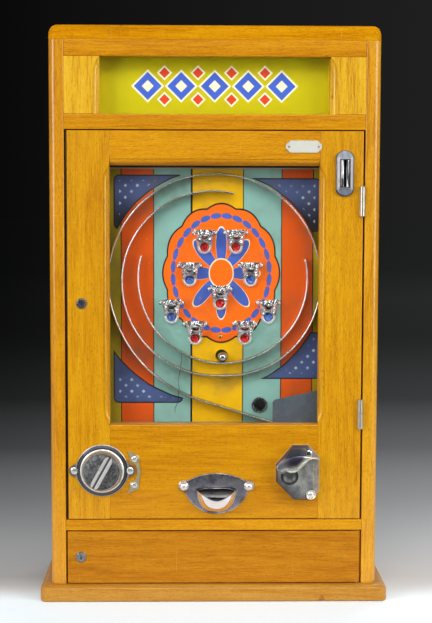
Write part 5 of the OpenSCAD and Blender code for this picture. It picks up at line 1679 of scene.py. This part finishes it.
@dataclass
class PayoutCup:
    """Eye-shaped payout plate with its half bowl, the lip of the chute and the domed fixing screws."""

    middle: Spot = (2.8, 145.8)
    thick: float = 1.5
    eye: tuple[float, float, float, float] = (40.0, 6.0, 11.5, 28.8)
    ear: tuple[float, float, float] = (41.0, 1.0, 7.2)
    mouth: tuple[float, float, float] = (-8.5, 24.0, 6.1)
    foot: tuple[float, float] = (8.0, -29.5)
    rim: tuple[float, float] = (25.5, 25.0)
    dip: float = 8.8
    wall: float = 1.4

    def _reach(self, dx: np.ndarray, dz: np.ndarray) -> np.ndarray:
        """How far a ray from the mouth's middle runs inside the eye, two discs and two sides, or inside an ear."""
        half, flat, rise, drop = self.eye
        up, low = (half**2 + rise**2) / (2.0 * rise), (half**2 + drop**2) / (2.0 * drop)

        def leave(cx: float, cz: float, r: float) -> np.ndarray:
            """Distance at which the ray leaves a disc, 0 where it misses it."""
            ox, oz = -cx, self.mouth[0] - cz
            along = ox * dx + oz * dz
            inside = along**2 - (ox**2 + oz**2 - r**2)
            return np.where(inside > 0.0, -along + np.sqrt(np.clip(inside, 0.0, None)), 0.0)

        eye = np.minimum(leave(0.0, flat + rise - up, up), leave(0.0, low - drop - flat, low))
        eye = np.minimum(eye, half / np.maximum(np.abs(dx), 1e-6))
        return np.maximum(eye, np.maximum(leave(-self.ear[0], *self.ear[1:]), leave(*self.ear)))

    def plate(self) -> np.ndarray:
        """Rays from the mouth's rounded edge out to the eye's edge, folded back to the door at both.

        Returns:
            Grid of steps out by rays.
        """
        a = np.linspace(0.0, 2.0 * math.pi, 241)[:-1]
        dx, dz = np.cos(a), np.sin(a)
        first = 1.0 / ((np.abs(dx) / self.mouth[1]) ** 3 + (np.abs(dz) / self.mouth[2]) ** 3) ** (1.0 / 3.0)
        last = self._reach(dx, dz)
        t = np.array([0.0, 0.0, 0.03, 0.06, 0.2, 0.4, 0.6, 0.8, 0.93, 0.965, 0.985, 1.0, 1.0])[:, None]
        lift = np.array([0.0, 0.9, 1.35, 1.6, 1.65, 1.67, 1.68, 1.68, 1.65, 1.6, 1.35, 0.9, 0.0])[:, None]
        r = first + (last - first) * t
        x, z = self.middle[0] + r * dx, self.middle[1] + self.mouth[0] + r * dz
        return points(x, FRONT - lift, z)

    def bowl(self) -> np.ndarray:
        """Half a turned bowl, a quarter ellipse in profile, its rim dipping to the front by a power of the sine.

        Returns:
            Grid of points up the outside, over the rim and down the inside, by points round.
        """
        turn = np.linspace(0.0, math.pi, 73)[None, :]
        grow, tall = self.rim[0] - self.foot[0], self.rim[1]
        full = np.arccos(self.dip * np.sin(turn) ** 4 / tall)
        t = np.linspace(0.0, 1.0, 25)[:, None]
        a = full * t
        r, h = self.foot[0] + grow * np.sin(a), tall * (1.0 - np.cos(a))
        nr, nh = tall * np.sin(a), -grow * np.cos(a)
        size = np.sqrt(nr**2 + nh**2)
        r_in, h_in = r - self.wall * nr / size, h - self.wall * nh / size
        crest_r, crest_h = (r[-1:] + r_in[-1:]) / 2.0, np.maximum(h[-1:], h_in[-1:]) + 0.4
        zero = np.zeros_like(turn)
        r = np.concatenate([zero, r, crest_r, r_in[::-1], zero])
        h = np.concatenate([zero, h, crest_h, h_in[::-1], zero + self.wall])
        x, y = self.middle[0] + r * np.cos(turn), FRONT - self.thick - r * np.sin(turn)
        return points(x, y, self.middle[1] + self.foot[1] + h)

    def tongue(self) -> np.ndarray:
        """Lip of the chute's floor: rows sloping to the front, drawn in towards a rounded edge, over and under.

        Returns:
            Grid of rows out, round the edge and back, by points across.
        """
        t = np.linspace(0.0, 1.0, 12)[:, None]
        across = np.linspace(-1.0, 1.0, 33)[None, :]
        x = self.middle[0] + (22.0 - 3.0 * t**2) * across
        y = FRONT + 1.5 - (14.0 - 2.0 * across**2) * t
        z = self.middle[1] - 7.0 - 4.2 * t + 0.4 * across**2
        over = points(x, y, z)
        under = over[::-1] - np.array([0.0, -0.15, 0.8])
        return np.concatenate([over, under])

    def build(self, bright: Material, cast: Material) -> None:
        """Plate, bowl, lip and screws.

        Args:
            bright: finish of the screws.
            cast: finish of the chute's lip.
        """
        dull = Plate(
            "plate_nickel", (0.66, 0.64, 0.70), (0.08, 0.08, 0.12), (0.17, 0.30), (0.44, 0.62), share=0.75,
            brushed=(0.2, 0.2, 0.2), waves=0.7,
        )
        plate = Shell().add(self.plate(), wrap_rows=True, wrap_columns=True).build("payout_plate", 50.0)
        settle(plate, dull.make(), "door")
        shaded_bowl = ShadedBowl("bowl_chrome", (self.middle[0], FRONT - self.thick), self.middle[1] + self.foot[1])
        settle(Shell().add(self.bowl()).build("payout_bowl", 50.0), shaded_bowl.make(), "door", "payout_cup")
        soften("dome_screws", bright, 0.25)
        settle(Shell().add(self.tongue(), wrap_rows=True).build("payout_tongue"), cast, "door")


@dataclass
class Trigger:
    """Eight-sided housing with its curved lever, small screw and ribbed flank."""

    screw: Spot = (119.0, 189.6)
    pivot: Spot = (100.8, 176.0)
    web: float = -108.8
    lip: tuple[tuple[Spot, float, float, float], ...] = (
        ((-16.5, -3.0), 5.3, 205.0, 322.0), ((-4.0, 5.6), 12.9, 240.0, 318.0), ((23.6, -3.2), 13.1, 142.0, 60.0),
    )
    washer: Spot = (121.5, 137.6)
    crest: tuple[tuple[Spot, float, float, float], ...] = (
        ((-16.5, -3.0), 6.4, 205.0, 125.0), ((11.0, -48.0), 60.4, 119.0, 72.0),
    )
    ribs: int = 9
    rib_z: Spot = (146.5, 180.0)

    def flank(self) -> np.ndarray:
        """Ribs on the right flank: a wave of z, half a sine tall, laid on the sloping face.

        Returns:
            Grid of points along the flank's depth by points up it.
        """
        d = np.linspace(0.0, 1.0, 6)[:, None]
        z = np.linspace(self.rib_z[0], self.rib_z[1], self.ribs * 12 + 1)[None, :]
        wave = np.abs(np.sin((z - self.rib_z[0]) / (self.rib_z[1] - self.rib_z[0]) * math.pi * self.ribs))
        lift = 0.75 * np.sin(math.pi * np.clip(d, 0.04, 0.96)) ** 0.35 * wave - 0.05
        x = 132.0 - 8.0 * d + lift * 0.74
        y = -93.5 - 8.9 * d - lift * 0.67
        return points(x, y, z)

    def _run(self, arcs: Sequence[tuple[Spot, float, float, float]], count: int) -> np.ndarray:
        """Points at even steps along a row of arcs about the pivot.

        Args:
            arcs: middle, radius, first and last angle in degrees of each.
            count: of points.

        Returns:
            x and z of each point.
        """
        path = np.concatenate([arc(m, r, np.linspace(first, last, 40)) for m, r, first, last in arcs])
        along = np.r_[0.0, np.cumsum(np.linalg.norm(np.diff(path, axis=0), axis=1))]
        even = np.linspace(0.0, along[-1], count)
        return points(*(np.interp(even, along, path[:, k]) + self.pivot[k] for k in (0, 1)))

    def lever(self) -> tuple[np.ndarray, np.ndarray]:
        """The lever's face, swelling between its edges as a product of sines, and the round lip on its lower edge.

        Returns:
            Grid of the face with its skirt, and grid of the lip.
        """
        low, high = self._run(self.lip, 72), self._run(self.crest, 72)
        v = np.r_[0.0, np.linspace(0.0, 1.0, 17), 1.0][:, None, None]
        flat = low[None] + (high - low)[None] * v
        u = np.sin(math.pi * np.linspace(0.02, 0.98, 72))[None, :] ** 0.5
        rise = 0.4 + 1.6 * u * np.sin(math.pi * v[..., 0] ** 0.8) ** 0.8
        rise[0] = rise[-1] = -3.0
        face = points(flat[..., 0], self.web - rise, flat[..., 1])
        edge = self._run(self.lip[1:], 72)
        path = points(edge[:, 0], self.web - 2.4, edge[:, 1])
        bead = tube(path, np.broadcast_to((0.0, 1.0, 0.0), path.shape), 1.3, 14)
        return face, bead

    def build(self, chrome: Material, bright: Material) -> None:
        """Housing and lever eased; lever face, lip, ribs, screw and washer added.

        Args:
            chrome: finish of the small screw.
            bright: finish of the lip and the washer.
        """
        cast = CastBox("cast_housing").make()
        skin = LeverSkin("lever_skin").make()
        soften("trigger_housing", cast, 0.8)
        soften("trigger_lever", skin, 0.5)
        face, bead = self.lever()
        settle(Shell().add(face).build("trigger_face", 50.0), skin, "trigger")
        settle(Shell().add(bead, wrap_columns=True).build("trigger_lip", 50.0), bright, "trigger")
        settle(Shell().add(self.flank()).build("trigger_ribs", 60.0), cast, "door")
        screw = Shell().add(slotted(self.screw, -98.0, 4.3, 2.2, 25.0))
        settle(screw.build("trigger_screw", 35.0), chrome, "door")
        ring = [(4.1, 0.0), (6.9, 0.0), (6.9, 4.2), (6.6, 5.4), (5.9, 6.0), (5.1, 5.5), (4.6, 4.2)]
        washer = Shell().add(turned(ring, self.washer, FRONT - 4.9, 48), wrap_rows=True, wrap_columns=True)
        settle(washer.build("trigger_washer", 50.0), bright, "door")


@dataclass
class Works:
    """Coin and ball gear behind the door, with its two springs."""

    coil_r: float = 3.4
    wire_r: float = 0.5

    def spring(
        self, node: str, span: Spot, y: float, z: float, turns: int, other: str, material: Material
    ) -> None:
        """A tension spring: a wire carried along a helix about X between two short hooks.

        Args:
            node: the CAD node that it stands for.
            span: x of its fixed end and of its moving end.
            y: of its axis.
            z: of its axis.
            turns: of the helix.
            other: the body at its far end, named in the log.
            material: its finish.
        """
        a = np.linspace(0.0, 2.0 * math.pi * turns, turns * 22 + 1)
        x = np.r_[[span[0]] * 3, np.linspace(span[0], span[1], a.size), [span[1]] * 3]
        lead = np.array([-1.5, -1.0, -0.4])
        up = np.r_[lead, self.coil_r * np.sin(a), -lead[::-1]]
        over = np.r_[[self.coil_r] * 3, self.coil_r * np.cos(a), [self.coil_r] * 3]
        path = points(x, y + over, z + up)
        side = points(0.0, over, np.where(np.abs(up) < 1e-9, 0.0, up))
        side[:3] = side[-3:] = (0.0, 1.0, 0.0)
        piece = Shell().add(tube(path, side, self.wire_r), wrap_columns=True).build(node + ".wound", 60.0)
        piece.data.materials.append(material)
        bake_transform(piece)
        stand_for(piece, node)
        LOG.info("%s: %d faces between door and %s", piece.name, len(piece.data.polygons), other)

    def build(self, steel: Material) -> None:
        """Sheet parts, tube, slide, crank, striker and springs.

        Args:
            steel: finish of the cut steel parts.
        """
        tin = Zinc("sheet_tin", (0.42, 0.43, 0.42), (0.26, 0.27, 0.265)).make()
        for node in ("coin_chute", "payout_chute", "ball_gallery"):
            soften(node, tin, 0.2)
        brass = Plate("tube_brass", (0.60, 0.42, 0.15), (0.23, 0.14, 0.05), (0.18, 0.38)).make()
        soften("coin_tube", brass, 0.2)
        for node in ("coin_bracket", "slide_guide", "payout_slide", "payout_crank", "striker", "trigger_plate"):
            soften(node, steel, 0.25)
        wire = Plate("spring_steel", (0.34, 0.34, 0.35), (0.10, 0.09, 0.085), (0.18, 0.34)).make()
        self.spring("striker_spring", (60.6, 95.0), -63.3, 196.0, 14, "trigger", wire)
        self.spring("payout_spring", (-99.2, -58.8), -20.0, 224.0, 16, "slide", wire)


@dataclass
class CashDoor:
    """Lower oak door with its pins and lock."""

    def build(self, steel: Material) -> None:
        """A darker panel with level grain.

        Args:
            steel: finish of the lock and pins.
        """
        oak = Oak(
            "oak_cash_door", Grain.LEVEL, 171.0, light=(0.64, 0.28, 0.014), middle=(0.51, 0.192, 0.005),
            dark=(0.33, 0.105, 0.003), gloss=(0.05, 0.2),
        )
        soften("cash_door", oak.make(), 0.5)
        for node in ("cash_pivots", "cash_lock_barrel", "cash_lock_plug"):
            soften(node, steel, 0.2)


def main() -> None:
    """Builds the studio and the machine in order."""
    logging.basicConfig(level=logging.INFO, format="%(name)s %(message)s")
    Studio().build()
    chrome = Plate(
        "chrome_fittings", (0.70, 0.72, 0.76), (0.20, 0.21, 0.25), (0.05, 0.14), (0.60, 0.74), 0.35, relief=0.008,
        specks=0.18, waves=0.55,
    ).make()
    nickel = Plate(
        "nickel_plate", (0.69, 0.65, 0.55), (0.28, 0.25, 0.18), (0.28, 0.42), (0.54, 0.72), share=0.4,
        brushed=(0.9, 0.9, 0.05), relief=0.006, specks=0.10, metal=0.85,
    ).make()
    steel = Plate("mech_steel", (0.40, 0.40, 0.41), (0.12, 0.115, 0.11), (0.20, 0.38), (0.52, 0.70), 0.5).make()
    cast = Plate(
        "cast_nickel", (0.72, 0.73, 0.69), (0.15, 0.145, 0.19), (0.26, 0.40), (0.42, 0.66), share=0.70,
        brushed=(0.25, 0.25, 0.10), relief=0.012, specks=0.10, waves=0.8, metal=0.92,
    ).make()
    bright = Plate(
        "bright_nickel", (0.96, 0.94, 0.90), (0.45, 0.43, 0.38), (0.14, 0.26), (0.58, 0.76), share=0.3,
        brushed=(0.3, 0.3, 0.3), relief=0.008, specks=0.1, metal=0.72,
    ).make()
    ball = Plate("ball_steel", (0.60, 0.60, 0.62), (0.22, 0.22, 0.23), (0.06, 0.16), (0.60, 0.75), 0.3).make()
    Case().build()
    SignBox().build()
    Door().build(nickel, steel)
    Playfield().build(bright, ball)
    PayoutKnob().build(bright)
    PayoutCup().build(bright, cast)
    Trigger().build(chrome, bright)
    Works().build(steel)
    CashDoor().build(steel)
    LOG.info("boxes written")


if __name__ == "__main__":
    main()
